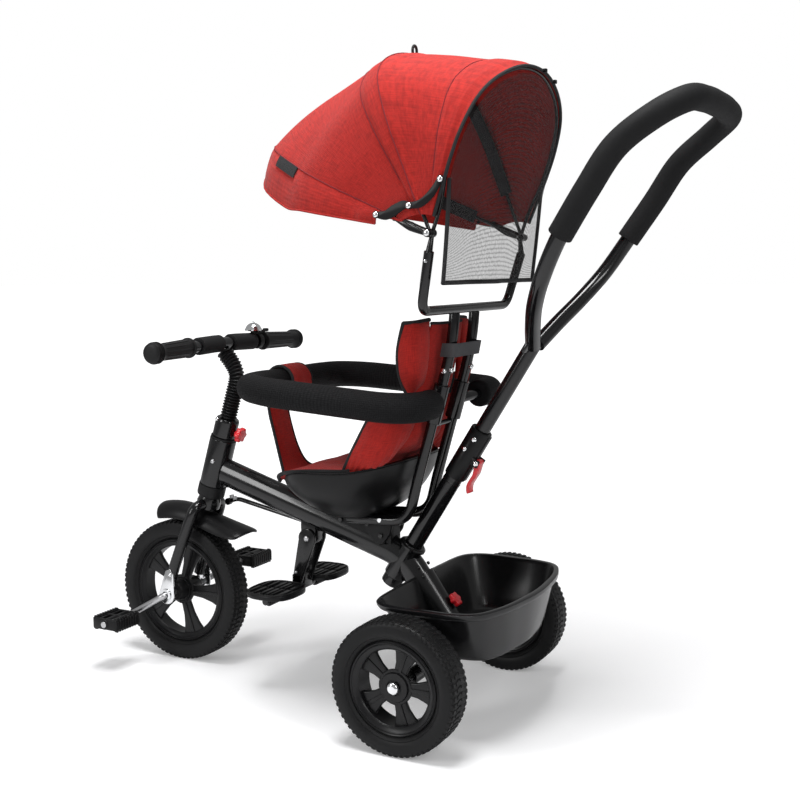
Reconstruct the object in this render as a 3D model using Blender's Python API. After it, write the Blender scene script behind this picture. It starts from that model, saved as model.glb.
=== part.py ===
"""A child's push tricycle with a folding canopy, built from its separate parts.

Metres, +Z up. The rider faces -Y and the rider's left is +X. Parts are modelled about the point on the
ground below the middle of the rear axle; the empty named tricycle moves them all so that the object's
bounding box is centred on the world origin.
"""

import math

import bmesh
import bpy
from mathutils import Matrix, Vector

# Driving dimensions
GAP = 0.0005
CENTRE_SHIFT = 0.1336
REAR_WHEEL_RADIUS = 0.1016
REAR_WHEEL_WIDTH = 0.052
REAR_TRACK = 0.4144
FRONT_WHEEL_RADIUS = 0.1278
FRONT_WHEEL_WIDTH = 0.044
FRONT_AXLE = Vector((0, -0.5511, FRONT_WHEEL_RADIUS))
HEAD_POINT = Vector((0, -0.459, 0.401))
HEAD_TILT = math.radians(17)
HANDLE_POINT = Vector((0, -0.0834, 0.253))
HANDLE_TILT = math.radians(32.05)
POST_POINT = Vector((0.0365, -0.018, 0.4955))
POST_TILT = math.radians(16)
CANOPY_PIVOT = Vector((0, 0.038, 0.754))
FOOTREST_PIVOT = Vector((0, -0.275, 0.251))
CRANK_RADIUS = 0.082
CRANK_ANGLE = math.radians(30)
RIM_SEGMENTS = 28

# Tube radii
FRAME_HALF_WIDTH = 0.019
FRAME_HALF_HEIGHT = 0.024
STEERER_RADIUS = 0.013
STEM_RADIUS = 0.009
HANDLEBAR_RADIUS = 0.0105
AXLE_RADIUS = 0.006
HANDLE_TUBE_RADIUS = 0.015
PUSH_TUBE_RADIUS = 0.0125
POST_RADIUS = 0.0085
GUARD_RADIUS = 0.008
HOOP_RADIUS = 0.0029
BRACKET_RADIUS = 0.00725

# Paints, plastics and cloths: colour, roughness, metallic
FINISHES = {
    "gloss_black_paint": ((0.008, 0.008, 0.009), 0.2, 0.0),
    "black_plastic": ((0.022, 0.022, 0.024), 0.5, 0.0),
    "gloss_black_plastic": ((0.012, 0.012, 0.013), 0.22, 0.0),
    "black_rubber": ((0.02, 0.02, 0.02), 0.65, 0.0),
    "black_foam": ((0.03, 0.03, 0.032), 0.95, 0.0),
    "red_plastic": ((0.55, 0.012, 0.02), 0.35, 0.0),
    "red_cloth": ((0.36, 0.02, 0.035), 0.95, 0.0),
    "black_mesh": ((0.015, 0.015, 0.016), 0.9, 0.0),
    "grey_webbing": ((0.12, 0.12, 0.125), 0.9, 0.0),
    "chrome": ((0.75, 0.76, 0.78), 0.12, 1.0),
    "steel": ((0.42, 0.43, 0.45), 0.35, 1.0),
}


def clear_scene():
    for obj in list(bpy.data.objects):
        bpy.data.objects.remove(obj)


def finish_material(part_name, finish):
    """Each part has its own material, so that one part can be repainted alone."""
    colour, roughness, metallic = FINISHES[finish]
    material = bpy.data.materials.new(f"{part_name}_{finish}")
    material.use_nodes = True
    shader = material.node_tree.nodes["Principled BSDF"]
    shader.inputs["Base Color"].default_value = (*colour, 1.0)
    shader.inputs["Roughness"].default_value = roughness
    shader.inputs["Metallic"].default_value = metallic
    material.diffuse_color = (*colour, 1.0)
    return material


def add_empty(name, at, tilt=0.0, parent=None):
    """An empty on a joint's axis; tilt leans its Z axis backwards."""
    empty = bpy.data.objects.new(name, None)
    empty.location = at
    empty.rotation_euler = (-tilt, 0, 0)
    bpy.context.scene.collection.objects.link(empty)
    if parent is not None:
        empty.parent = parent
    return empty


def rest_matrix(at, tilt=0.0):
    return Matrix.Translation(at) @ Matrix.Rotation(-tilt, 4, "X")


def tilted_point(origin, tilt, along, rear=0.0, side=0.0):
    """A point given along a tilted axis, behind it and to its left."""
    return rest_matrix(origin, tilt) @ Vector((side, rear, along))


def add_part(name, mesh, finish, joint):
    """The mesh is in the tricycle's frame, and its parent empty stands on the joint's axis."""
    obj = bpy.data.objects.new(name, mesh)
    bpy.context.scene.collection.objects.link(obj)
    mesh.name = name
    mesh.materials.clear()
    mesh.materials.append(finish_material(name, finish))
    mesh.shade_smooth()
    mesh.set_sharp_from_angle(angle=math.radians(35))
    obj.parent = joint
    if joint.parent is not None:
        obj.matrix_parent_inverse = rest_matrix(joint.location, -joint.rotation_euler.x).inverted()
    return obj


def mesh_of(bm):
    bmesh.ops.recalc_face_normals(bm, faces=bm.faces)
    mesh = bpy.data.meshes.new("shape")
    bm.to_mesh(mesh)
    bm.free()
    return mesh


def combined(base, other, operation):
    """The Boolean of two meshes, as one new mesh."""
    holder = bpy.data.objects.new("base", base)
    cutter = bpy.data.objects.new("cutter", other)
    for obj in (holder, cutter):
        bpy.context.scene.collection.objects.link(obj)
    modifier = holder.modifiers.new("combine", "BOOLEAN")
    modifier.operation = operation
    modifier.object = cutter
    graph = bpy.context.evaluated_depsgraph_get()
    result = bpy.data.meshes.new_from_object(holder.evaluated_get(graph))
    for obj in (holder, cutter):
        bpy.data.objects.remove(obj)
    return result


def fused(*meshes):
    result = meshes[0]
    for mesh in meshes[1:]:
        result = combined(result, mesh, "UNION")
    return result


def cut(base, *cutters):
    result = base
    for cutter in cutters:
        result = combined(result, cutter, "DIFFERENCE")
    return result


def add_ring(bm, matrix, radius, sides, section, phase):
    """One ring of a tube, stretched across by section."""
    shape = Matrix.Diagonal((section[0], section[1], 1, 1))
    turn = Matrix.Rotation(phase, 4, "Z")
    ring = bmesh.ops.create_circle(bm, segments=sides, radius=radius, matrix=matrix @ shape @ turn)["verts"]
    edges = {edge for vertex in ring for edge in vertex.link_edges}
    return ring, sorted(edges, key=lambda edge: edge.index)


def frames_along(path):
    """A placing matrix for each point, with its Z along the path and no twist between them."""
    points = [Vector(p) for p in path]
    last = len(points) - 1
    turn = None
    frames = []
    for i, point in enumerate(points):
        ahead = (points[min(i + 1, last)] - points[max(i - 1, 0)]).normalized()
        if turn is None:
            turn = ahead.to_track_quat("Z", "Y")
        else:
            turn = previous.rotation_difference(ahead) @ turn
        previous = ahead
        frames.append(Matrix.Translation(point) @ turn.to_matrix().to_4x4())
    return frames


def add_rings(bm, path, radius, sides, section, phase):
    """Bridged rings along a path; radius is one value, or one for each point. Returns the two end rings."""
    frames = frames_along(path)
    radii = radius if isinstance(radius, (list, tuple)) else [radius] * len(frames)
    rings = [add_ring(bm, m, r, sides, section, phase) for m, r in zip(frames, radii)]
    for (_, first), (_, second) in zip(rings, rings[1:]):
        bmesh.ops.bridge_loops(bm, edges=first + second)
    return rings[0], rings[-1]


def tube(path, radius, sides=12, bore=None, section=(1.0, 1.0)):
    """A rod along a path or, with a bore, a pipe open at both ends."""
    bm = bmesh.new()
    phase = math.pi / sides
    start, end = add_rings(bm, path, radius, sides, section, phase)
    if bore is None:
        bmesh.ops.edgeloop_fill(bm, edges=start[1])
        bmesh.ops.edgeloop_fill(bm, edges=end[1])
    else:
        inner_start, inner_end = add_rings(bm, path, bore, sides, section, phase)
        for outer, inner in ((start[0], inner_start[0]), (end[0], inner_end[0])):
            for k in range(sides):
                after = (k + 1) % sides
                bm.faces.new((outer[k], outer[after], inner[after], inner[k]))
    return mesh_of(bm)


def turned(profile, matrix, segments=24, closed=False):
    """A profile of (radius, height) spun about the matrix's Z axis; closed means it is a ring."""
    bm = bmesh.new()
    points = [bm.verts.new((r, 0, h)) for r, h in profile]
    pairs = list(zip(points, points[1:]))
    if closed:
        pairs.append((points[-1], points[0]))
    edges = [bm.edges.new(pair) for pair in pairs]
    bmesh.ops.spin(bm, geom=points + edges, cent=(0, 0, 0), axis=(0, 0, 1), angle=math.tau,
                   steps=segments, use_merge=True)
    bmesh.ops.remove_doubles(bm, verts=bm.verts, dist=1e-6)
    bmesh.ops.transform(bm, matrix=matrix, verts=bm.verts)
    return mesh_of(bm)


def block(low, high, matrix=None, bevel=0.0, segments=2):
    """A box from its low to its high corner, with its edges rounded."""
    low, high = Vector(low), Vector(high)
    bm = bmesh.new()
    size = Matrix.Diagonal((*(high - low), 1))
    bmesh.ops.create_cube(bm, size=1, matrix=Matrix.Translation((low + high) / 2) @ size)
    if bevel:
        bmesh.ops.bevel(bm, geom=bm.edges[:], offset=bevel, segments=segments, profile=0.5,
                        affect="EDGES", material=-1)
    if matrix is not None:
        bmesh.ops.transform(bm, matrix=matrix, verts=bm.verts)
    return mesh_of(bm)


def slab(outline, low, high, matrix=None, bevel=0.0, segments=1):
    """An outline in X and Y, extruded from the low to the high Z."""
    bm = bmesh.new()
    face = bm.faces.new([bm.verts.new((x, y, low)) for x, y in outline])
    made = bmesh.ops.extrude_face_region(bm, geom=[face])
    raised = [v for v in made["geom"] if isinstance(v, bmesh.types.BMVert)]
    bmesh.ops.translate(bm, verts=raised, vec=(0, 0, high - low))
    if bevel:
        rim = [e for e in bm.edges if abs(e.verts[0].co.z - e.verts[1].co.z) < 1e-7]
        bmesh.ops.bevel(bm, geom=rim, offset=bevel, segments=segments, profile=0.5,
                        affect="EDGES", material=-1)
    if matrix is not None:
        bmesh.ops.transform(bm, matrix=matrix, verts=bm.verts)
    return mesh_of(bm)


def side_plate(outline, low, high, bevel=0.0):
    """An outline in Y and Z, extruded along X from low to high."""
    along_x = Matrix(((0, 0, 1, 0), (1, 0, 0, 0), (0, 1, 0, 0), (0, 0, 0, 1)))
    return slab(outline, low, high, along_x, bevel)


def across(at):
    """A placing matrix at a point whose Z axis runs along +X."""
    return Matrix.Translation(at) @ Matrix.Rotation(math.pi / 2, 4, "Y")


def mirrored(path):
    return [(-p[0], p[1], p[2]) for p in path]


def smooth_path(points, steps=4):
    """A Catmull-Rom curve through the points, with this many steps between each two."""
    points = [Vector(p) for p in points]
    padded = [2 * points[0] - points[1], *points, 2 * points[-1] - points[-2]]
    path = []
    for a, b, c, d in zip(padded, padded[1:], padded[2:], padded[3:]):
        for k in range(steps):
            t = k / steps
            path.append(0.5 * (2 * b + (c - a) * t + (2 * a - 5 * b + 4 * c - d) * t ** 2
                               + (3 * b - a - 3 * c + d) * t ** 3))
    path.append(points[-1])
    return path


def sheet_solid(rows, thickness):
    """An open sheet of rows of points, made into a closed solid by giving it a thickness inwards."""
    bm = bmesh.new()
    grid = [[bm.verts.new(p) for p in row] for row in rows]
    for first, second in zip(grid, grid[1:]):
        for a, b, c, d in zip(first, first[1:], second[1:], second):
            bm.faces.new((a, b, c, d))
    mesh = bpy.data.meshes.new("sheet")
    bm.to_mesh(mesh)
    bm.free()
    holder = bpy.data.objects.new("sheet", mesh)
    bpy.context.scene.collection.objects.link(holder)
    solidify = holder.modifiers.new("thickness", "SOLIDIFY")
    solidify.thickness = thickness
    solidify.offset = -1
    solidify.use_even_offset = True
    graph = bpy.context.evaluated_depsgraph_get()
    result = bpy.data.meshes.new_from_object(holder.evaluated_get(graph))
    bpy.data.objects.remove(holder)
    return result


def frame_centre():
    """The main tube's centre line, from the head tube down and round to the rear axle."""
    slope = math.radians(17.3)
    drop = math.radians(51.5)
    corner = Vector((0, -0.0993, 0.2395))
    bend = 0.0308
    start = corner - 0.37 * Vector((0, math.cos(slope), -math.sin(slope)))
    before = corner - bend * Vector((0, math.cos(slope), -math.sin(slope)))
    after = corner + bend * Vector((0, math.cos(drop), -math.sin(drop)))
    arc = [(1 - t) ** 2 * before + 2 * t * (1 - t) * corner + t * t * after for t in (0, 0.25, 0.5, 0.75, 1)]
    return [start, *arc, Vector((0, 0, REAR_WHEEL_RADIUS + 0.004))]


def frame_tube(growth=0.0):
    section = (FRAME_HALF_WIDTH + growth, FRAME_HALF_HEIGHT + growth)
    return tube(frame_centre(), 1.0, sides=16, section=section)


def seat_underside(y):
    """The seat's floor runs level behind and climbs with the main tube in front."""
    return 0.300 + max(0.0, -0.195 - y) * 0.3115


def make_frame(root):
    head = rest_matrix(HEAD_POINT, HEAD_TILT)
    handle = rest_matrix(HANDLE_POINT, HANDLE_TILT)
    sleeve_half = 0.172
    boss_low, boss_high = -0.058, 0.008
    head_low, head_high = -0.078, 0.009
    head_radius = 0.0235
    frame = fused(
        frame_tube(),
        turned([(0, head_low), (head_radius, head_low), (head_radius, head_high), (0, head_high)], head, 24),
        turned([(0, boss_low), (0.0195, boss_low), (0.0195, boss_high), (0, boss_high)], handle, 20),
        tube([(-sleeve_half, 0, REAR_WHEEL_RADIUS), (sleeve_half, 0, REAR_WHEEL_RADIUS)], 0.0125, 16),
        side_plate([(-0.452, 0.336), (-0.40, 0.325), (-0.452, 0.322)], -0.004, 0.004),
        side_plate(footrest_lug(), -0.0135, 0.0135),
    )
    reach = 0.2
    frame = cut(
        frame,
        tube([head @ Vector((0, 0, -reach)), head @ Vector((0, 0, reach))], 0.0190, 20),
        tube([handle @ Vector((0, 0, -reach)), handle @ Vector((0, 0, 0.1))], 0.0122, 20),
        tube([(-0.3, 0, REAR_WHEEL_RADIUS), (0.3, 0, REAR_WHEEL_RADIUS)], AXLE_RADIUS + 0.0007, 12),
        tube([(-0.1, *FOOTREST_PIVOT.yz), (0.1, *FOOTREST_PIVOT.yz)], 0.0042, 12),
    )
    add_part("main_frame", frame, "gloss_black_paint", root)

    bore = STEERER_RADIUS + 0.0006
    lower = turned([(bore, -0.099), (0.0245, -0.099), (0.0245, -0.0785), (0.0182, -0.0785),
                    (0.0182, -0.066), (bore, -0.066)], head, 16, closed=True)
    add_part("lower_bushing", lower, "black_plastic", root)
    upper = turned([(bore, 0.0), (0.0182, 0.0), (0.0182, 0.0095), (0.0228, 0.0095),
                    (0.0228, 0.0125), (bore, 0.0125)], head, 16, closed=True)
    add_part("upper_bushing", upper, "black_plastic", root)

    axle_half = 0.2215
    nut = [(0, axle_half - 0.002), (0.0095, axle_half - 0.002), (0.0095, axle_half + 0.005),
           (0.006, axle_half + 0.0085), (0, axle_half + 0.009)]
    middle = Vector((0, 0, REAR_WHEEL_RADIUS))
    opposite = across(middle) @ Matrix.Rotation(math.pi, 4, "X")
    axle = fused(tube([middle - Vector((axle_half, 0, 0)), middle + Vector((axle_half, 0, 0))], AXLE_RADIUS, 12),
                 turned(nut, across(middle), 12), turned(nut, opposite, 12))
    add_part("rear_axle", axle, "chrome", root)

    side = [(-0.235, 0.266), (-0.235, seat_underside(-0.235) - GAP), (-0.195, 0.300 - GAP),
            (-0.113, 0.300 - GAP), (-0.113, 0.256), (-0.14, 0.252)]
    add_part("seat_bracket", cut(side_plate(side, -0.0245, 0.0245), frame_tube(0.0006)),
             "black_plastic", root)


def footrest_lug():
    """The lug under the main tube that carries the footrest's hinge bolt."""
    arc = [(FOOTREST_PIVOT.y + 0.0145 * math.cos(a), FOOTREST_PIVOT.z + 0.0145 * math.sin(a))
           for a in (math.radians(180 + 30 * k) for k in range(7))]
    return arc + [(FOOTREST_PIVOT.y + 0.0145, 0.285), (FOOTREST_PIVOT.y - 0.0145, 0.290)]


def disc_outline(centre, radius, count):
    return [(centre[0] + radius * math.cos(math.tau * k / count),
             centre[1] + radius * math.sin(math.tau * k / count)) for k in range(count)]


def post_line(z):
    """The back posts' Y at a height: straight where the guard's sleeves turn, upright at the top."""
    straight = POST_POINT.y + (z - POST_POINT.z) * math.tan(POST_TILT)
    top_bend = max(0.0, z - 0.545)
    return straight - 1.25 * top_bend ** 2


def post_path():
    x = POST_POINT.x
    path = [(x, -0.180, 0.2895), (x, -0.118, 0.2895), (x, -0.095, 0.2925), (x, -0.081, 0.300)]
    path += [(x, post_line(z), z) for z in (0.315, 0.46, 0.545, 0.575, 0.605, 0.635)]
    return path


def make_seat_frame(root):
    rod_z = 0.4609
    rod_y = post_line(rod_z)
    frame = fused(tube(post_path(), POST_RADIUS, 10), tube(mirrored(post_path()), POST_RADIUS, 10),
                  tube([(-0.036, rod_y, rod_z), (0.036, rod_y, rod_z)], 0.004, 8))
    add_part("backrest_frame", frame, "gloss_black_paint", root)

    strap_z = 0.580
    rear = post_line(strap_z) + POST_RADIUS + 0.005
    front = post_line(strap_z) - POST_RADIUS - 0.001
    half = POST_POINT.x + POST_RADIUS + 0.0015
    thick = 0.0015
    outline = [(-half - thick, front), (-half - thick, rear - 0.004), (-half + 0.003, rear + thick),
               (half - 0.003, rear + thick), (half + thick, rear - 0.004), (half + thick, front),
               (half, front), (half, rear - 0.005), (half - 0.004, rear), (-half + 0.004, rear),
               (-half, rear - 0.005), (-half, front)]
    add_part("elastic_strap", slab(outline, strap_z - 0.010, strap_z + 0.010), "grey_webbing", root)


def rounded_plan(centre_y, half_width, half_depth, count, power=3.2):
    """A rounded rectangle of points in plan."""
    points = []
    for k in range(count):
        a = math.tau * (k + 0.5) / count
        c, s = math.cos(a), math.sin(a)
        points.append((half_width * math.copysign(abs(c) ** (2 / power), c),
                       centre_y + half_depth * math.copysign(abs(s) ** (2 / power), s)))
    return points


def seat_wall(shrink=0.0, reaches=None):
    """The seat shell's bowl: rings in plan from its floor up to its sloping rim."""
    middle, half_width, front_half, back_half = -0.190, 0.128 - shrink, 0.092 - shrink, 0.104 - shrink
    turns = [math.radians(a) for a in (8, 24, 40, 56, 72, 90)]
    rows = []
    for reach, climb in reaches or [(math.sin(a) ** 0.86, 1 - math.cos(a)) for a in turns]:
        row = []
        for x, share in rounded_plan(0.0, half_width * reach, reach, 24):
            front, back = max(0.0, -share), max(0.0, share)
            y = middle + share * (back_half if share > 0 else front_half)
            floor = seat_underside(y) + shrink
            rim = 0.388 + 0.017 * back ** 2 - 0.036 * front ** 3
            row.append((x * (1 - 0.20 * front ** 3), y + 0.018 * climb * back, floor + climb * (rim - floor)))
        row.append(row[0])
        rows.append(row)
    return rows


def closed_rings(rows, fill_first=True, fill_last=False):
    """A surface through closed rings of points, its ends filled where asked."""
    bm = bmesh.new()
    grid = [[bm.verts.new(p) for p in row[:-1]] for row in rows]
    for first, second in zip(grid, grid[1:]):
        count = len(first)
        for k in range(count):
            bm.faces.new((first[k], first[(k + 1) % count], second[(k + 1) % count], second[k]))
    if fill_first:
        bm.faces.new(grid[0][::-1])
    if fill_last:
        bm.faces.new(grid[-1])
    bmesh.ops.recalc_face_normals(bm, faces=bm.faces)
    return bm


def walled(bm, thickness):
    mesh = bpy.data.meshes.new("wall")
    bm.to_mesh(mesh)
    bm.free()
    holder = bpy.data.objects.new("wall", mesh)
    bpy.context.scene.collection.objects.link(holder)
    solidify = holder.modifiers.new("thickness", "SOLIDIFY")
    solidify.thickness = thickness
    solidify.offset = -1
    graph = bpy.context.evaluated_depsgraph_get()
    result = bpy.data.meshes.new_from_object(holder.evaluated_get(graph))
    bpy.data.objects.remove(holder)
    return result


def make_seat(root):
    shell = closed_rings(seat_wall())
    add_part("seat_shell", walled(shell, 0.003), "black_plastic", root)
    add_part("seat_liner", cut(liner_solid(), around_seat()), "red_cloth", root)


def around_seat():
    """All that lies outside the shell's inner face and below its rim, so that the liner stays in the bowl."""
    rows = seat_wall(0.0062)
    rows[-1] = [(x, y, z + 0.006) for x, y, z in rows[-1]]
    outer = [(x * 1.7, -0.190 + (y + 0.190) * 1.7, z + 0.004) for x, y, z in rows[-1]]
    below = [(x, y, 0.24) for x, y, z in outer]
    return mesh_of(closed_rings(rows + [outer, below], True, True))


def liner_spine():
    """The liner's middle line: along the seat's floor, round the corner and up in front of the posts."""
    seat = [(-0.282, 0.360), (-0.250, 0.358), (-0.205, 0.350), (-0.160, 0.346)]
    corner = [(-0.134, 0.348), (-0.118, 0.354), (-0.108, 0.368)]
    back = [(-0.096, 0.402)] + [(post_line(z) - 0.0245, z) for z in (0.44, 0.49, 0.54, 0.585, 0.615)]
    return seat + corner + back


def liner_solid():
    """A padded cover with its side wings turned up, crowned along its middle."""
    spine = liner_spine()
    half_widths = [0.080, 0.096, 0.100, 0.097, 0.088, 0.080, 0.077, 0.083, 0.104, 0.112, 0.118, 0.118, 0.098]
    wing_heights = [0.012, 0.032, 0.045, 0.058, 0.045, 0.042, 0.048, 0.060, 0.070, 0.038, 0.040, 0.052, 0.030]
    half_thick = [0.010, 0.013, 0.014, 0.014, 0.013, 0.012, 0.011, 0.010, 0.010, 0.010, 0.010, 0.010, 0.006]
    rows = []
    last = len(spine) - 1
    for i, (y, z) in enumerate(spine):
        ahead = Vector((0, spine[min(i + 1, last)][0] - spine[max(i - 1, 0)][0],
                        spine[min(i + 1, last)][1] - spine[max(i - 1, 0)][1])).normalized()
        inward = Vector((0, -ahead.z, ahead.y))
        middle = Vector((0, y, z))
        w, h, t = half_widths[i], wing_heights[i], half_thick[i]
        section = [(0, -t), (w * 0.6, -t), (w * 0.93, -t * 0.7), (w + 0.004, h * 0.3), (w + 0.012, h),
                   (w + 0.004, h), (w - 0.012, h * 0.35), (w * 0.78, t * 0.9), (w * 0.45, t * 1.5), (0, t * 1.3)]
        ring = section + [(-x, n) for x, n in section[-2:0:-1]]
        rows.append([middle + Vector((x, 0, 0)) + n * inward for x, n in ring + ring[:1]])
    return mesh_of(closed_rings(rows, True, True))


def rounded_path(points, radius, steps=3):
    """Straight runs whose corners are rounded off."""
    points = [Vector(p) for p in points]
    path = [points[0]]
    for before, corner, after in zip(points, points[1:], points[2:]):
        to_before = (before - corner).normalized() * radius
        to_after = (after - corner).normalized() * radius
        for k in range(steps + 1):
            t = k / steps
            path.append(corner + (1 - t) ** 2 * to_before + t * t * to_after)
    path.append(points[-1])
    return path


def make_wheel(name, centre, radius, width, rim_radius, hub_half, outward, joint):
    """A moulded wheel: a rim ring, a hub and five broad spokes, and a solid tyre on the rim."""
    place = across(centre)
    half = width / 2
    rim_half = half - 0.006
    hub_radius = 0.017
    bore = AXLE_RADIUS + 0.0007
    pieces = [turned([(rim_radius - 0.009, -rim_half), (rim_radius, -rim_half), (rim_radius, rim_half),
                      (rim_radius - 0.009, rim_half)], place, RIM_SEGMENTS, closed=True),
              turned([(bore, -hub_half), (hub_radius, -hub_half), (hub_radius, hub_half), (bore, hub_half)],
                     place, 14, closed=True)]
    spoke = [(hub_radius - 0.003, -0.0080), (rim_radius - 0.006, -0.0155), (rim_radius - 0.006, 0.0155),
             (hub_radius - 0.003, 0.0080)]
    for k in range(5):
        turn = Matrix.Rotation(math.tau * k / 5 + 0.3, 4, "Z")
        pieces.append(slab(spoke, outward * 0.006 - 0.004, outward * 0.006 + 0.004, place @ turn))
    add_part(f"{name[0]}_rim{name[1]}", fused(*pieces), "black_plastic", joint)
    seat = rim_radius + GAP
    tyre = [(seat, -half + 0.006), (seat + 0.009, -half), (radius - 0.009, -half), (radius, -half + 0.010),
            (radius, half - 0.010), (radius - 0.009, half), (seat + 0.009, half), (seat, half - 0.006)]
    add_part(f"{name[0]}_tyre{name[1]}", turned(tyre, place, RIM_SEGMENTS, closed=True), "black_rubber", joint)


def bar_point(x):
    """The handlebar is straight in the middle, and its two sides sweep back and down a little."""
    swept = max(0.0, abs(x) - 0.03) / 0.18
    return Vector((x, -0.449 + 0.0125 * swept, 0.578 - 0.004 * swept))


def stem_path():
    """Up the steering axis, then curving forwards to come up under the bar."""
    axis = [tilted_point(HEAD_POINT, HEAD_TILT, along) for along in (-0.02, 0.05, 0.085, 0.112)]
    side_view = ((-0.4252, 0.523), (-0.4305, 0.538), (-0.4400, 0.551), (-0.4470, 0.559), (-0.449, 0.5665))
    bend = [Vector((0, y, z)) for y, z in side_view]
    return axis + bend


def resampled(path, count):
    """The same curve with evenly spaced points."""
    lengths = [0.0]
    for a, b in zip(path, path[1:]):
        lengths.append(lengths[-1] + (b - a).length)
    points = []
    k = 0
    for i in range(count):
        wanted = lengths[-1] * i / (count - 1)
        while k < len(path) - 2 and lengths[k + 1] < wanted:
            k += 1
        share = (wanted - lengths[k]) / (lengths[k + 1] - lengths[k])
        points.append(path[k].lerp(path[k + 1], share))
    return points


def make_fork(steering, knob_joint):
    head = rest_matrix(HEAD_POINT, HEAD_TILT)
    collar_low, collar_high = 0.0135, 0.047
    steerer = turned([(0.0096, -0.115), (STEERER_RADIUS, -0.115), (STEERER_RADIUS, 0.0465), (0.0096, 0.0465)],
                     head, 20, closed=True)
    collar = turned([(0.0115, collar_low), (0.0205, collar_low), (0.0205, collar_high), (0.0115, collar_high)],
                    head, 20, closed=True)
    crown = block((-0.0530, -0.0135, -0.1235), (0.0530, 0.0135, -0.1005), head, 0.003, 1)
    blade = rounded_path([(0.040, -0.4925, 0.2935), (0.040, -0.505, 0.262), (0.040, -0.5455, 0.165),
                          (0.040, -0.551, 0.147)], 0.010, 2)
    fork = fused(crown, steerer, collar, tube(blade, 0.0105, 10), tube(mirrored(blade), 0.0105, 10))
    add_part("fork", fork, "gloss_black_paint", steering)

    plate = [(-0.5345, 0.166), (-0.5415, 0.176), (-0.5515, 0.172)]
    plate += [(FRONT_AXLE.y + 0.017 * math.cos(a), FRONT_AXLE.z + 0.017 * math.sin(a))
              for a in (math.radians(180 + 36 * k) for k in range(6))]
    hole = tube([FRONT_AXLE - Vector((0.1, 0, 0)), FRONT_AXLE + Vector((0.1, 0, 0))], AXLE_RADIUS + 0.0008, 12)
    add_part("bearing_plate_left", cut(side_plate(plate, 0.0511, 0.0541), hole.copy()), "chrome", steering)
    add_part("bearing_plate_right", cut(side_plate(plate, -0.0541, -0.0511), hole), "chrome", steering)

    rows = []
    for angle, reach, half in ((108, 0.163, 0.025), (104, 0.164, 0.030), (90, 0.162, 0.030), (78, 0.1575, 0.0285),
                               (66, 0.1575, 0.0285), (56, 0.166, 0.031), (47, 0.178, 0.037), (40, 0.192, 0.042)):
        out = Vector((0, math.cos(math.radians(angle)), math.sin(math.radians(angle))))
        row = []
        for share in (-1, -0.92, -0.6, 0, 0.6, 0.92, 1):
            droop = {0: 0.0, 0.6: 0.001, 0.92: 0.005, 1: 0.013}[abs(share)]
            row.append(FRONT_AXLE + (reach - droop) * out + Vector((share * half, 0, 0)))
        rows.append(row)
    add_part("front_fender", sheet_solid(rows, 0.0025), "black_plastic", steering)

    knob = head @ Matrix.Translation((0, 0.0215, 0.0272)) @ Matrix.Rotation(-math.pi / 2, 4, "X")
    add_part("stem_knob", star_knob(knob, 0.0138, 0.006, 0.017), "red_plastic", knob_joint)


def star_knob(place, radius, stand, height):
    """A lobed knob on its screw; Z of the placing matrix runs out along the screw."""
    lobes = []
    for k in range(24):
        a = math.tau * k / 24
        reach = radius * (0.91 + 0.09 * math.cos(6 * a))
        lobes.append((reach * math.cos(a), reach * math.sin(a)))
    return fused(slab(lobes, stand, height, place, 0.0015),
                 turned([(0, 0), (0.0035, 0), (0.0035, stand + 0.002), (0, stand + 0.002)], place, 10))


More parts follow.
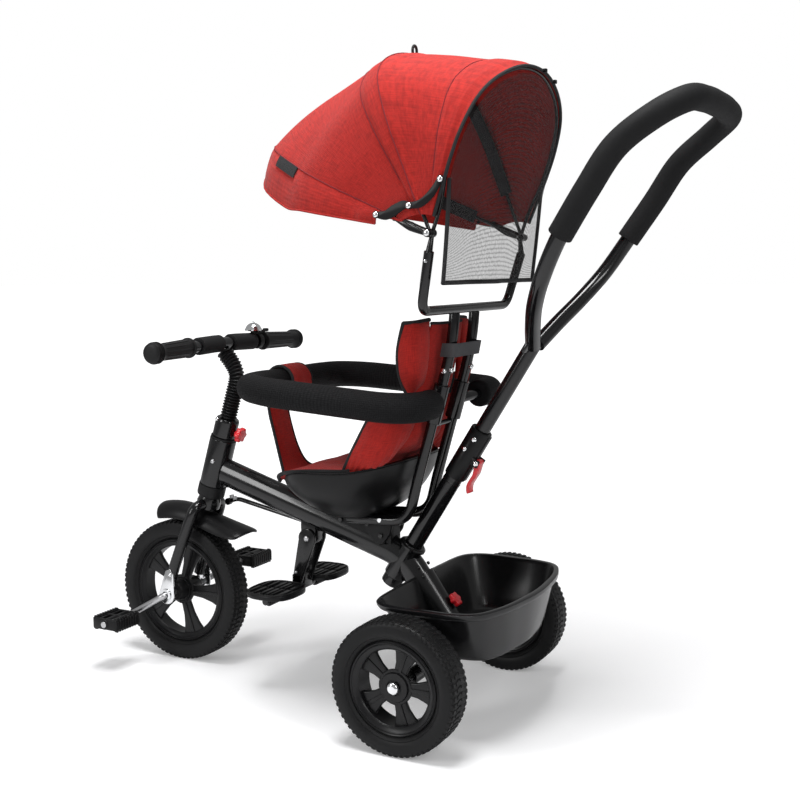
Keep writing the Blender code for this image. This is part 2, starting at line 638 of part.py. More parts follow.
def make_handlebar(bars, bell_joint):
    add_part("stem", tube(stem_path(), STEM_RADIUS, 12), "black_plastic", bars)
    ribs = 24
    start = tilted_point(HEAD_POINT, HEAD_TILT, 0.0478)
    full = [start] + [p for p in stem_path() if p.z > start.z + 0.004][:-1] + [Vector((0, -0.4488, 0.5625))]
    curve = smooth_path(full, 4)
    spaced = resampled(curve, 2 * ribs + 1)
    swell = [0.0150 if k % 2 else 0.0125 for k in range(2 * ribs + 1)]
    body = tube(spaced, swell, 8)
    room = tube(stem_path(), STEM_RADIUS + 0.0006, 12)
    add_part("stem_bellows", cut(body, room), "black_rubber", bars)

    half = 0.2085
    stations = (-half, -0.03, 0.03, half)
    add_part("handlebar", tube([bar_point(x) for x in stations], HANDLEBAR_RADIUS, 12), "gloss_black_paint", bars)
    for side, name in ((1, "left"), (-1, "right")):
        sleeve = [bar_point(side * x) for x in (0.0165, 0.03, 0.078)]
        add_part(f"foam_sleeve_{name}", tube(sleeve, 0.0150, 12, bore=HANDLEBAR_RADIUS + 0.0005), "black_foam", bars)
        stations = (0.1065, 0.1095, 0.1115, 0.125, 0.188, 0.199, 0.2085, 0.2125)
        radii = [0.0172, 0.0172, 0.0142, 0.0146, 0.0138, 0.0168, 0.0172, 0.0120]
        grip = tube([bar_point(side * x) for x in stations], radii, 12)
        room = tube([bar_point(side * x) for x in (0.09, half + 0.0006)], HANDLEBAR_RADIUS + 0.0008, 12)
        add_part(f"grip_{name}", cut(grip, room), "black_rubber", bars)

    seat = bar_point(-0.092)
    band = turned([(0.0114, -0.006), (0.0145, -0.006), (0.0145, 0.006), (0.0114, 0.006)], across(seat), 16,
                  closed=True)
    bell_base = seat + Vector((0.013, 0.002, 0.0190))
    foot = block(seat + Vector((-0.0035, -0.005, 0.0125)), bell_base + Vector((-0.002, 0.005, 0.003)))
    stand = block(seat + Vector((-0.0095, -0.004, 0.0122)), seat + Vector((-0.0055, 0.004, 0.0160)))
    dome = [(0, 0)] + [(0.0155 * math.cos(a), 0.0145 * math.sin(a)) for a in
                       (math.radians(15 * k) for k in range(7))]
    bell = fused(band, foot, stand, turned(dome, Matrix.Translation(bell_base), 16))
    add_part("bell", bell, "chrome", bars)
    pivot = bell_joint.location
    arm = block(pivot + Vector((-0.021, -0.003, 0.0005)), pivot + Vector((0.0030, 0.003, 0.0030)), bevel=0.0008)
    thumb = block(pivot + Vector((-0.023, -0.0045, -0.0005)), pivot + Vector((-0.016, 0.0045, 0.0055)), bevel=0.001)
    lever = fused(arm, thumb)
    add_part("bell_lever", lever, "black_plastic", bell_joint)


def make_front_wheel(joint, pedal_joints):
    make_wheel(("front", ""), FRONT_AXLE, FRONT_WHEEL_RADIUS, FRONT_WHEEL_WIDTH, 0.094, 0.030, 1, joint)
    arm = Vector((0, -math.cos(CRANK_ANGLE), -math.sin(CRANK_ANGLE))) * CRANK_RADIUS
    outer, inner = 0.1405, 0.062
    points = [FRONT_AXLE + Vector((outer, 0, 0)) + arm, FRONT_AXLE + Vector((inner + 0.004, 0, 0)) + arm,
              FRONT_AXLE + Vector((inner, 0, 0)), FRONT_AXLE - Vector((inner, 0, 0)),
              FRONT_AXLE - Vector((inner + 0.004, 0, 0)) - arm, FRONT_AXLE - Vector((outer, 0, 0)) - arm]
    add_part("crank_axle", tube(rounded_path(points, 0.0062, 2), 0.0055, 10), "steel", joint)
    for side, name in ((1, "left"), (-1, "right")):
        centre = FRONT_AXLE + side * arm
        low, high = sorted((side * 0.0745, side * 0.1390))
        body = block((low, centre.y - 0.0275, centre.z - 0.0120), (high, centre.y + 0.0275, centre.z + 0.0120),
                     bevel=0.003, segments=1)
        rib_cuts = []
        for edge in (-1, 1):
            y = centre.y + edge * 0.0275
            rib_cuts.append(block((low + 0.010, y - 0.004, centre.z - 0.004),
                                  (high - 0.010, y + 0.004, centre.z + 0.004)))
        hole = tube([Vector((0, centre.y, centre.z)), Vector((side * 0.2, centre.y, centre.z))], 0.0062, 12)
        add_part(f"pedal_{name}", cut(body, hole, *rib_cuts), "black_plastic", pedal_joints[side])


def make_footrest(joint):
    pivot = FOOTREST_PIVOT
    arc = [(pivot.y + 0.0165 * math.cos(a), pivot.z + 0.0165 * math.sin(a))
           for a in (math.radians(30 * k) for k in range(7))]
    ear = arc + [(-0.307, 0.166), (-0.293, 0.158)]
    rod_z = 0.1612
    arm = fused(side_plate(ear, 0.0145, 0.0185), side_plate(ear, -0.0185, -0.0145),
                block((-0.0185, -0.3055, 0.160), (0.0185, -0.288, 0.186), bevel=0.001),
                tube([(-0.0210, pivot.y, pivot.z), (0.0210, pivot.y, pivot.z)], 0.0036, 10),
                tube([(-0.108, -0.300, rod_z), (0.108, -0.300, rod_z)], 0.006, 10))
    add_part("footrest_arm", arm, "gloss_black_paint", joint)
    for side, name in ((1, "left"), (-1, "right")):
        outline = [(side * 0.0715 + side * x, y) for x, y in rounded_plan(-0.302, 0.0475, 0.0435, 24, 2.8)]
        plate = slab(outline, 0.1677, 0.1765, bevel=0.002)
        slots = [block((side * 0.0715 - 0.029, y - 0.0025, 0.15), (side * 0.0715 + 0.029, y + 0.0025, 0.19))
                 for y in (-0.3275, -0.3145, -0.2820)]
        add_part(f"foot_plate_{name}", cut(plate, *slots), "black_plastic", joint)


def basket_rows(growth, low, high, lip):
    """Rings of the basket from its floor to its rim; growth moves the wall in, lip turns the rim out."""
    half = [(0.0, -0.064), (0.07, -0.0645), (0.135, -0.0625), (0.163, -0.049), (0.175, -0.020), (0.173, 0.030),
            (0.168, 0.068), (0.145, 0.098), (0.100, 0.118), (0.050, 0.128), (0.0, 0.131)]
    outline = half + [(-x, y) for x, y in half[-2:0:-1]]
    middle_y = 0.034
    rows = []
    for climb, out in ((0.0, 0.0), (0.12, 0.0), (1.0, 0.0), (1.0, lip), (1.04, lip)):
        taper = 0.72 + 0.28 * min(1.0, climb) ** 0.8
        row = []
        for x, y in outline:
            reach = Vector((x, y - middle_y))
            spread = reach * taper - reach.normalized() * (growth - out)
            centre = middle_y + 0.012 * (1 - climb)
            row.append((spread.x, centre + spread.y, low + (high - low) * climb))
        rows.append(row + row[:1])
        if lip == 0.0 and climb == 1.0:
            break
    return rows


def make_basket(root, knob_joint):
    floor, rim = 0.1225, 0.2045
    outer = mesh_of(closed_rings(basket_rows(0.0, floor, rim, 0.005), True, True))
    room = mesh_of(closed_rings(basket_rows(0.0025, floor + 0.0028, rim + 0.012, 0.0), True, True))
    basket = cut(outer, cut(room, frame_tube(0.0042)), frame_tube(0.0015))
    add_part("rear_basket", basket, "gloss_black_plastic", root)
    knob = rest_matrix(knob_joint.location, math.radians(51.5))
    add_part("basket_knob", star_knob(knob, 0.0125, 0.003, 0.012), "red_plastic", knob_joint)


def push_loop():
    """The push handle's loop: its left half from the fork of the Y up and over to the middle of the bar."""
    left = [(0.010, 0.1295, 0.588), (0.055, 0.147, 0.621), (0.098, 0.167, 0.654), (0.134, 0.193, 0.695),
            (0.155, 0.225, 0.748), (0.162, 0.264, 0.806), (0.160, 0.302, 0.861), (0.148, 0.350, 0.899),
            (0.118, 0.385, 0.921), (0.06, 0.393, 0.926), (0.0, 0.394, 0.927)]
    return left + mirrored(left[-2::-1])


def make_handle(turning, lever_joint, sliding, rod_joint):
    place = rest_matrix(HANDLE_POINT, HANDLE_TILT)
    bore = PUSH_TUBE_RADIUS + 0.0008
    segments = 16
    profile = [(0, -0.0755), (0.017, -0.0755), (0.017, -0.059), (0.0117, -0.059), (0.0117, 0.0087),
               (HANDLE_TUBE_RADIUS, 0.0087), (HANDLE_TUBE_RADIUS, 0.2319), (bore, 0.2319), (bore, 0.05), (0, 0.05)]
    lever_arm = block((-0.0335, -0.007, -0.0755), (0, 0.007, -0.0690), place, 0.002)
    add_part("handle_tube", fused(turned(profile, place, segments), lever_arm), "gloss_black_paint", turning)

    clear = HANDLE_TUBE_RADIUS + 0.0006
    collar = [(clear, 0.147), (0.0178, 0.147), (0.0178, 0.236), (bore, 0.236), (bore, 0.2325), (clear, 0.2325)]
    ears = [block((low, 0.0132, 0.1815), (low + 0.0025, 0.0275, 0.1945), place) for low in (0.0095, -0.012)]
    pivot_rear, pivot_along = 0.0225, 0.188
    pin = tube([place @ Vector((x, pivot_rear, pivot_along)) for x in (-0.0130, 0.0130)], 0.0020, 10)
    add_part("handle_clamp", fused(turned(collar, place, segments, closed=True), *ears, pin), "black_plastic", turning)

    outline = [(pivot_rear + 0.0043 * math.cos(a), pivot_along + 0.0043 * math.sin(a))
               for a in (math.radians(180 - 30 * k) for k in range(7))]
    outline += [(0.0305, 0.174), (0.0380, 0.141), (0.0335, 0.1385), (0.0262, 0.160), (0.0210, 0.178)]
    along_x = Matrix(((0, 0, 1, 0), (1, 0, 0, 0), (0, 1, 0, 0), (0, 0, 0, 1)))
    lever = slab(outline, -0.0088, 0.0088, place @ along_x, 0.001)
    hole = tube([place @ Vector((x, pivot_rear, pivot_along)) for x in (-0.02, 0.02)], 0.0026, 10)
    add_part("quick_release_lever", cut(lever, hole), "red_plastic", lever_joint)

    loop = [Vector(p) for p in push_loop()]
    straight = [place @ Vector((0, 0, along)) for along in (0.095, 0.3990)]
    add_part("push_handle", fused(tube(loop, 0.0118, 10), tube(straight, PUSH_TUBE_RADIUS, 16)),
             "gloss_black_paint", sliding)
    padded = loop[4:-4]
    add_part("handle_foam", tube(padded, 0.0180, 10, bore=0.0126), "black_foam", sliding)

    side = -0.0265
    front = tilted_point(HEAD_POINT, HEAD_TILT, -0.108, 0.024)
    rear = tilted_point(HANDLE_POINT, HANDLE_TILT, -0.0570)
    route = [(side, front.y, front.z), (side, -0.448, 0.2975), (side, -0.195, 0.2480), (side, -0.160, 0.2360),
             (side, -0.122, 0.2125), (side, rear.y, rear.z)]
    add_part("steering_rod", tube(route, 0.004, 8), "gloss_black_paint", rod_joint)


def guard_route():
    return [(0.0470, -0.0175, 0.4955), (0.0650, -0.0100, 0.4980), (0.0900, -0.0040, 0.5000), (0.1250, -0.0040, 0.5005),
            (0.1530, -0.0170, 0.5010), (0.1645, -0.0480, 0.5020), (0.1660, -0.1000, 0.5055),
            (0.1655, -0.2000, 0.5125), (0.1600, -0.2600, 0.5165), (0.1380, -0.2980, 0.5185),
            (0.0950, -0.3130, 0.5185), (0.0450, -0.3160, 0.5175), (0.0012, -0.3160, 0.5170)]


def make_guard(joints):
    for side, name in ((1, "left"), (-1, "right")):
        route = [Vector((side * x, y, z)) for x, y, z in guard_route()]
        place = rest_matrix((side * POST_POINT.x, POST_POINT.y, POST_POINT.z), POST_TILT)
        sleeve = turned([(0.0092, -0.0310), (0.0125, -0.0310), (0.0125, 0.0310), (0.0092, 0.0310)], place, 16,
                        closed=True)
        add_part(f"guard_arm_{name}", fused(sleeve, tube(route, GUARD_RADIUS, 10)), "gloss_black_paint", joints[side])
        add_part(f"guard_foam_{name}", tube(route[2:], 0.0228, 10, bore=GUARD_RADIUS + 0.0008),
                 "black_foam", joints[side])
    rows = []
    bar = Vector((0, -0.316, 0.517))
    reach = 0.0268
    line = [(-0.3090, 0.3545), (-0.3180, 0.385), (-0.3340, 0.430), (-0.3420, 0.475)]
    line += [(bar.y + reach * math.cos(a), bar.z + reach * math.sin(a))
             for a in (math.radians(d) for d in (180, 150, 120, 90, 60, 35))]
    for y, z in line:
        rows.append([(x, y, z) for x in (-0.028, 0.0, 0.028)])
    return sheet_solid(rows, 0.002)


# Canopy hoops: each arch's (x, distance from the pivot line), and its angle up from straight back
REAR_ARCH = [(0.1795, 0.085), (0.181, 0.112), (0.178, 0.148), (0.160, 0.192), (0.122, 0.224),
             (0.062, 0.248), (0.0, 0.2555)]
MIDDLE_ARCH = [(0.1740, 0.080), (0.1745, 0.120), (0.174, 0.170), (0.160, 0.225), (0.130, 0.257),
               (0.070, 0.282), (0.0, 0.2925)]
FRONT_ARCH = [(0.1665, 0.092), (0.1640, 0.130), (0.163, 0.172), (0.151, 0.225), (0.129, 0.266),
              (0.075, 0.345), (0.0, 0.3825)]
REAR_ANGLE = 70.5
MIDDLE_ANGLE = 111.5
FRONT_ANGLE = 156.5
COVER_OFFSET = 0.0062


def canopy_point(x, reach, angle):
    """A point at a reach from the canopy's pivot line, at an angle from straight back."""
    a = math.radians(angle)
    return CANOPY_PIVOT + Vector((x, reach * math.cos(a), reach * math.sin(a)))


def hoop_path(foot, arch, angle):
    half = [canopy_point(x, h, angle) for x, h in foot + arch]
    return half + mirrored(half[-2::-1])


def arch_at(angle):
    """The cover's arch at an angle, part way between the two hoops beside it."""
    stops = ((REAR_ANGLE, REAR_ARCH), (MIDDLE_ANGLE, MIDDLE_ARCH), (FRONT_ANGLE, FRONT_ARCH))
    for (low, first), (high, second) in zip(stops, stops[1:]):
        if angle <= high:
            break
    share = (angle - low) / (high - low)
    sag = 1 - 0.05 * max(0.0, math.sin(math.pi * min(1.0, max(0.0, share))))
    share = min(1.0, share)
    return [(a[0] + share * (b[0] - a[0]), (a[1] + share * (b[1] - a[1])) * sag) for a, b in zip(first, second)]


def cover_row(angle, reach_growth=0.0):
    points = arch_at(angle)
    grown = []
    for i, (x, h) in enumerate(points):
        after = points[min(i + 1, len(points) - 1)]
        before = points[max(i - 1, 0)]
        along = Vector((after[0] - before[0], after[1] - before[1])).normalized()
        out = Vector((along.y, -along.x)) * (COVER_OFFSET + reach_growth)
        grown.append((x + out.x, h + out.y))
    grown[-1] = (0.0, points[-1][1] + COVER_OFFSET + reach_growth)
    half = [canopy_point(x, h, angle) for x, h in grown]
    return half + mirrored(half[-2::-1])


def make_canopy(root, button_joints, middle, front, stay_joints):
    """The U bracket, three hoops, the links that hold them open, the cover and the window behind."""
    corner = (0.157, 0.016, 0.643)
    top = (0.172, 0.0363, 0.7275)
    bar = rounded_path([(-top[0], *top[1:]), (-corner[0], *corner[1:]), corner, top], 0.018, 4)
    direction = (Vector(top) - Vector(corner)).normalized()
    bracket = tube(bar, BRACKET_RADIUS, 10)
    cutters = []
    hoop_legs = []
    leg_low = Vector(top) - 0.030 * direction
    button_at = Vector(corner).lerp(Vector(top), 0.85)
    for side in (1, -1):
        flip = Vector((side, 1, 1))
        end = Vector(top) * flip
        low = leg_low * flip
        cutters.append(tube([low - (end - low) * 0.1, end + (end - low) * 0.2], 0.0054, 12))
        hole = button_at * flip
        cutters.append(tube([hole, hole + Vector((side * 0.02, 0, 0))], 0.0034, 10))
        hoop_legs.append(([low, end, Vector((side * 0.1652, 0.0375, 0.7500))], hole))
    add_part("canopy_bracket", cut(bracket, *cutters), "gloss_black_paint", root)

    rear = tube(hoop_path([(0.1650, 0.0), (0.1652, 0.035), (0.1710, 0.060)], REAR_ARCH, REAR_ANGLE), HOOP_RADIUS, 6)
    pieces = []
    for side in (1, -1):
        legs, hole = hoop_legs[side < 0]
        pieces.append(tube(legs, [0.0048, 0.0048, 0.0030], 8))
        pieces.append(tube([CANOPY_PIVOT + Vector((side * x, 0, 0)) for x in (0.1622, 0.1678)], 0.0060, 8))
        pieces.append(tube([CANOPY_PIVOT + Vector((side * x, 0, 0)) for x in (0.160, 0.1830)], 0.0024, 6))
        pieces.append(tube([CANOPY_PIVOT + Vector((side * x, 0, 0)) for x in (0.1812, 0.1842)], 0.0058, 8))
    rear = fused(rear, *pieces)
    bores = []
    for side in (1, -1):
        legs, hole = hoop_legs[side < 0]
        bores.append(tube([legs[0] - (legs[1] - legs[0]) * 0.1, legs[0].lerp(legs[1], 0.93)], 0.0038, 12))
        bores.append(tube([hole, hole + Vector((side * 0.02, 0, 0))], 0.0034, 10))
    add_part("rear_hoop", cut(rear, *bores), "gloss_black_paint", root)
    for side, name in ((1, "left"), (-1, "right")):
        at = button_at * Vector((side, 1, 1))
        button = turned([(0, 0.0003), (0.0027, 0.0003), (0.0027, 0.0085), (0.0018, 0.0095), (0, 0.0097)],
                        across(at) if side > 0 else across(at) @ Matrix.Rotation(math.pi, 4, "X"), 10)
        add_part(f"snap_button_{name}", button, "chrome", button_joints[side])

    for name, foot, arch, angle, layer, joint in (
            ("mid_hoop", [(0.1715, 0.0), (0.1720, 0.040)], MIDDLE_ARCH, MIDDLE_ANGLE, 0.1715, middle),
            ("front_hoop", [(0.1780, 0.0), (0.1765, 0.030), (0.1705, 0.060)], FRONT_ARCH, FRONT_ANGLE, 0.1780, front)):
        hoop = tube(hoop_path(foot, arch, angle), HOOP_RADIUS, 6)
        eyes = [tube([CANOPY_PIVOT + Vector((side * x, 0, 0)) for x in (layer - 0.0025, layer + 0.0025)], 0.0058, 12)
                for side in (1, -1)]
        hole = tube([CANOPY_PIVOT - Vector((0.3, 0, 0)), CANOPY_PIVOT + Vector((0.3, 0, 0))], 0.0030, 10)
        add_part(name, cut(fused(hoop, *eyes), hole), "gloss_black_paint", joint)

    front_pin, knee, rear_pin = (-0.0418, 0.7816), (0.0122, 0.7926), (0.0615, 0.8271)
    for side, name in ((1, "left"), (-1, "right")):
        stay_front = stay_link(front_pin, knee, side, 0.1832, 0.1709)
        add_part(f"stay_front_{name}", stay_front, "gloss_black_paint", stay_joints[side][0])
        stay_rear = stay_link(rear_pin, knee, side, 0.1858, 0.1832)
        add_part(f"stay_rear_{name}", stay_rear, "gloss_black_paint", stay_joints[side][1])

    rows = [cover_row(angle) for angle in (REAR_ANGLE - 1, 80, 91, 101, MIDDLE_ANGLE, 121, 133, 145, FRONT_ANGLE)]
    rows.append(cover_row(FRONT_ANGLE + 6, 0.004))
    rows.append(cover_row(FRONT_ANGLE + 11.5, 0.010))
    add_part("canopy_cover", sheet_solid([smooth_row(row) for row in rows], 0.0016), "red_cloth", root)

    hem_y, hem_z, hem_half = 0.058, 0.684, 0.168
    inside = [(x - 0.004 if x else 0.0, h - 0.007) for x, h in REAR_ARCH]
    top_row = [p + Vector((0, 0.0060, 0)) for p in map(Vector, hoop_path([], inside, REAR_ANGLE))]
    rows = []
    last = len(top_row) - 1
    for fall in (0.0, 0.35, 0.7, 1.0):
        row = []
        for k, p in enumerate(top_row):
            x = hem_half * (1 - 2 * k / last)
            row.append(p.lerp(Vector((x, hem_y + 0.004 * math.cos(30 * x), hem_z)), fall))
        rows.append(row)
    add_part("mesh_window", sheet_solid(rows, 0.0014), "black_mesh", root)


def smooth_row(row):
    return smooth_path(row, 2)


def stay_link(pin, knee, side, layer, inner):
    """A flat link from its pin on a hoop to the knee, with an eye at both ends and the pin fixed in it."""
    thick = 0.0020
    start, end = Vector(pin), Vector(knee)
    along = (end - start).normalized()
    across_link = Vector((-along.y, along.x)) * 0.0038
    outline = [start + across_link, start - across_link, end - across_link, end + across_link]
    low, high = (layer, layer + thick) if side > 0 else (-layer - thick, -layer)
    pieces = [side_plate([tuple(p) for p in outline], low, high)]
    for centre in (pin, knee):
        pieces.append(side_plate(disc_outline(centre, 0.0052, 12), low, high))
    ends = sorted((side * inner, side * (layer + thick + 0.0015)))
    pieces.append(tube([(x, *pin) for x in ends], 0.0022, 8))
    return fused(*pieces)


def main():
    clear_scene()
    root = add_empty("tricycle", (0, CENTRE_SHIFT, 0))
    head_axis = add_empty("steering_axis", HEAD_POINT, HEAD_TILT, root)
    bar_axis = add_empty("handlebar_height_axis", HEAD_POINT, HEAD_TILT, root)
    knob_axis = add_empty("stem_knob_axis", tilted_point(HEAD_POINT, HEAD_TILT, 0.0272, 0.0215), HEAD_TILT, root)
    bell_axis = add_empty("bell_lever_axis", bar_point(-0.092) + Vector((-0.0072, 0.002, 0.0162)), 0, root)
    wheel_axis = add_empty("front_wheel_axis", FRONT_AXLE, 0, root)
    arm = Vector((0, -math.cos(CRANK_ANGLE), -math.sin(CRANK_ANGLE))) * CRANK_RADIUS
    pedal_axes = {side: add_empty(f"pedal_axis_{name}", FRONT_AXLE + side * arm, 0, root)
                  for side, name in ((1, "left"), (-1, "right"))}
    handle_axis = add_empty("handle_axis", HANDLE_POINT, HANDLE_TILT, root)
    height_axis = add_empty("handle_height_axis", HANDLE_POINT, HANDLE_TILT, root)
    lever_axis = add_empty("lever_axis", tilted_point(HANDLE_POINT, HANDLE_TILT, 0.188, 0.0225), 0, root)
    rod_axis = add_empty("steering_rod_axis", (-0.0265, -0.3, 0.27), 0, root)
    footrest_axis = add_empty("footrest_axis", FOOTREST_PIVOT, 0, root)
    basket_knob_at = Vector((0, -0.0335 + 0.0292 * 0.7826, 0.1525 + 0.0292 * 0.6225))
    basket_knob_axis = add_empty("basket_knob_axis", basket_knob_at, 0, root)
    guard_axes = {side: add_empty(f"guard_axis_{name}", (side * POST_POINT.x, POST_POINT.y, POST_POINT.z),
                                  POST_TILT, root) for side, name in ((1, "left"), (-1, "right"))}
    button_axes = {side: add_empty(f"snap_button_axis_{name}", (side * 0.1698, 0.0333, 0.7148), 0, root)
                   for side, name in ((1, "left"), (-1, "right"))}
    middle_axis = add_empty("mid_hoop_axis", CANOPY_PIVOT, 0, root)
    front_axis = add_empty("front_hoop_axis", CANOPY_PIVOT, 0, root)
    stay_axes = {side: (add_empty(f"stay_front_axis_{name}", (side * 0.184, -0.0418, 0.7816), 0, root),
                        add_empty(f"stay_rear_axis_{name}", (side * 0.186, 0.0615, 0.8271), 0, root))
                 for side, name in ((1, "left"), (-1, "right"))}

    make_frame(root)
    make_seat_frame(root)
    make_seat(root)
    make_fork(head_axis, knob_axis)
    make_handlebar(bar_axis, bell_axis)
    make_front_wheel(wheel_axis, pedal_axes)
    for side, name in ((1, "left"), (-1, "right")):
        centre = Vector((side * REAR_TRACK / 2, 0, REAR_WHEEL_RADIUS))
        axis = add_empty(f"rear_wheel_axis_{name}", centre, 0, root)
        make_wheel(("rear", f"_{name}"), centre, REAR_WHEEL_RADIUS, REAR_WHEEL_WIDTH, 0.071, 0.011, side, axis)
    make_footrest(footrest_axis)
    make_basket(root, basket_knob_axis)
    make_handle(handle_axis, lever_axis, height_axis, rod_axis)
    add_part("crotch_strap", make_guard(guard_axes), "red_cloth", root)
    make_canopy(root, button_axes, middle_axis, front_axis, stay_axes)


main()
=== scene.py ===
"""Looks of a child's push tricycle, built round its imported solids.

Metres, +Z up. The rider faces -Y and the rider's left is +X. Pieces are modelled about the point on the
ground below the middle of the rear axle, and each is moved by SHIFT into the frame's own place when it is
finished.
"""

import math

import bmesh
import bpy
from mathutils import Matrix, Vector, noise


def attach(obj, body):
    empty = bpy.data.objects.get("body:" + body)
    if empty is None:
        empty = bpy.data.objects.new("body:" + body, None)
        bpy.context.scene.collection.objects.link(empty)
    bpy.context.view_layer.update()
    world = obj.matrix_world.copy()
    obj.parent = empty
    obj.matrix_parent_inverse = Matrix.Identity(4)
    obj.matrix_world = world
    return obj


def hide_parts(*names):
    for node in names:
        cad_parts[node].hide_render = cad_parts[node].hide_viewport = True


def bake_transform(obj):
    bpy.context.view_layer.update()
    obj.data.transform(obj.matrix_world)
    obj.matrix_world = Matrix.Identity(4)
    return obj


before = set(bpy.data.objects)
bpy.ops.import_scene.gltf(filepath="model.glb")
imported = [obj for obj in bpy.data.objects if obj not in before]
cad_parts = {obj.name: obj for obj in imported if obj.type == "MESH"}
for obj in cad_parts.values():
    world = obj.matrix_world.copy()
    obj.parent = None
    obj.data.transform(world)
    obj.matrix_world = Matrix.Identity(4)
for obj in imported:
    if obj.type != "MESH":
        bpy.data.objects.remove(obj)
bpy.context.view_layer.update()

# The same driving dimensions as the solids
SHIFT = Vector((0, 0.1336, 0))
REAR_WHEEL_RADIUS = 0.1016
REAR_WHEEL_WIDTH = 0.052
REAR_TRACK = 0.4144
FRONT_WHEEL_RADIUS = 0.1278
FRONT_WHEEL_WIDTH = 0.044
FRONT_AXLE = Vector((0, -0.5511, FRONT_WHEEL_RADIUS))
HEAD_POINT = Vector((0, -0.459, 0.401))
HEAD_TILT = math.radians(17)
HANDLE_POINT = Vector((0, -0.0834, 0.253))
HANDLE_TILT = math.radians(32.05)
POST_POINT = Vector((0.0365, -0.018, 0.4955))
POST_TILT = math.radians(16)
CANOPY_PIVOT = Vector((0, 0.038, 0.754))
FOOTREST_PIVOT = Vector((0, -0.275, 0.251))
CRANK_RADIUS = 0.082
CRANK_ANGLE = math.radians(30)
# How steeply the main tube's rear run drops, in degrees
MAIN_TUBE_DROP = 51.5
SIDES = ((1, "left"), (-1, "right"))

# Paint, plastic and cloth colours
PAINT_BLACK = (0.0045, 0.0045, 0.005)
PLASTIC_BLACK = (0.0050, 0.0050, 0.0054)
RUBBER_BLACK = (0.0050, 0.0050, 0.0054)
FOAM_BLACK = (0.0095, 0.0095, 0.010)
SIGNAL_RED = (0.62, 0.012, 0.020)
CLOTH_RED = (0.50, 0.020, 0.013)
CLOTH_DARK_RED = (0.26, 0.009, 0.007)

# Placing matrix for an outline drawn in Y and Z and extruded along X
ALONG_X = Matrix(((0, 0, 1, 0), (1, 0, 0, 0), (0, 1, 0, 0), (0, 0, 0, 1)))
# Vertices closer than this are one vertex
MERGE_DISTANCE = 1e-6


# Mesh tools

def rest_matrix(at, tilt=0.0):
    """A placing matrix at a point whose Z axis leans towards the rear by the tilt."""
    return Matrix.Translation(at) @ Matrix.Rotation(-tilt, 4, "X")


def across(at):
    """A placing matrix at a point whose Z axis runs along +X."""
    return Matrix.Translation(at) @ Matrix.Rotation(math.pi / 2, 4, "Y")


def facing(at, direction):
    """A placing matrix at a point whose Z axis runs along a direction."""
    return Matrix.Translation(at) @ Vector(direction).to_track_quat("Z", "Y").to_matrix().to_4x4()


def mirrored(path):
    return [Vector((-p[0], p[1], p[2])) for p in path]


def curve_between(a, b, c, d, steps):
    """The points of a Catmull-Rom curve from b up to c, without c itself."""
    return [0.5 * (2 * b + (c - a) * t + (2 * a - 5 * b + 4 * c - d) * t ** 2
                   + (3 * b - a - 3 * c + d) * t ** 3) for t in (k / steps for k in range(steps))]


def smooth_path(points, steps=4):
    """A smooth curve through the points, with this many steps between each two."""
    points = [Vector(p) for p in points]
    padded = [2 * points[0] - points[1], *points, 2 * points[-1] - points[-2]]
    path = []
    for four in zip(padded, padded[1:], padded[2:], padded[3:]):
        path += curve_between(*four, steps)
    return [*path, points[-1]]


def smooth_loop(points, steps=4):
    """A closed smooth curve; its first point isn't repeated."""
    points = [Vector(p) for p in points]
    count = len(points)
    path = []
    for i in range(count):
        path += curve_between(*(points[(i + k) % count] for k in (-1, 0, 1, 2)), steps)
    return path


def corner_arc(before, corner, after, steps):
    """A curve that leaves one side of a corner at before and joins the other at after, both seen from it."""
    return [corner + (1 - t) ** 2 * before + t * t * after for t in (k / steps for k in range(steps + 1))]


def rounded_path(points, radius, steps=8):
    """Straight runs whose corners are rounded off."""
    points = [Vector(p) for p in points]
    path = [points[0]]
    for before, corner, after in zip(points, points[1:], points[2:]):
        path += corner_arc((before - corner).normalized() * radius, corner,
                           (after - corner).normalized() * radius, steps)
    return [*path, points[-1]]


def path_length(path):
    return sum((b - a).length for a, b in zip(path, path[1:]))


def resampled(path, count):
    """The same curve with evenly spaced points."""
    lengths = [0.0]
    for a, b in zip(path, path[1:]):
        lengths.append(lengths[-1] + (b - a).length)
    points = []
    k = 0
    for i in range(count):
        wanted = lengths[-1] * i / (count - 1)
        while k < len(path) - 2 and lengths[k + 1] < wanted:
            k += 1
        share = (wanted - lengths[k]) / max(1e-9, lengths[k + 1] - lengths[k])
        points.append(path[k].lerp(path[k + 1], share))
    return points


def frames_along(path):
    """A placing matrix for each point, with its Z along the path and no twist between them."""
    last = len(path) - 1
    turn = None
    frames = []
    for i, point in enumerate(path):
        ahead = (path[min(i + 1, last)] - path[max(i - 1, 0)]).normalized()
        if turn is None:
            turn = ahead.to_track_quat("Z", "Y")
        else:
            turn = previous.rotation_difference(ahead) @ turn
        previous = ahead
        frames.append(Matrix.Translation(point) @ turn.to_matrix().to_4x4())
    return frames


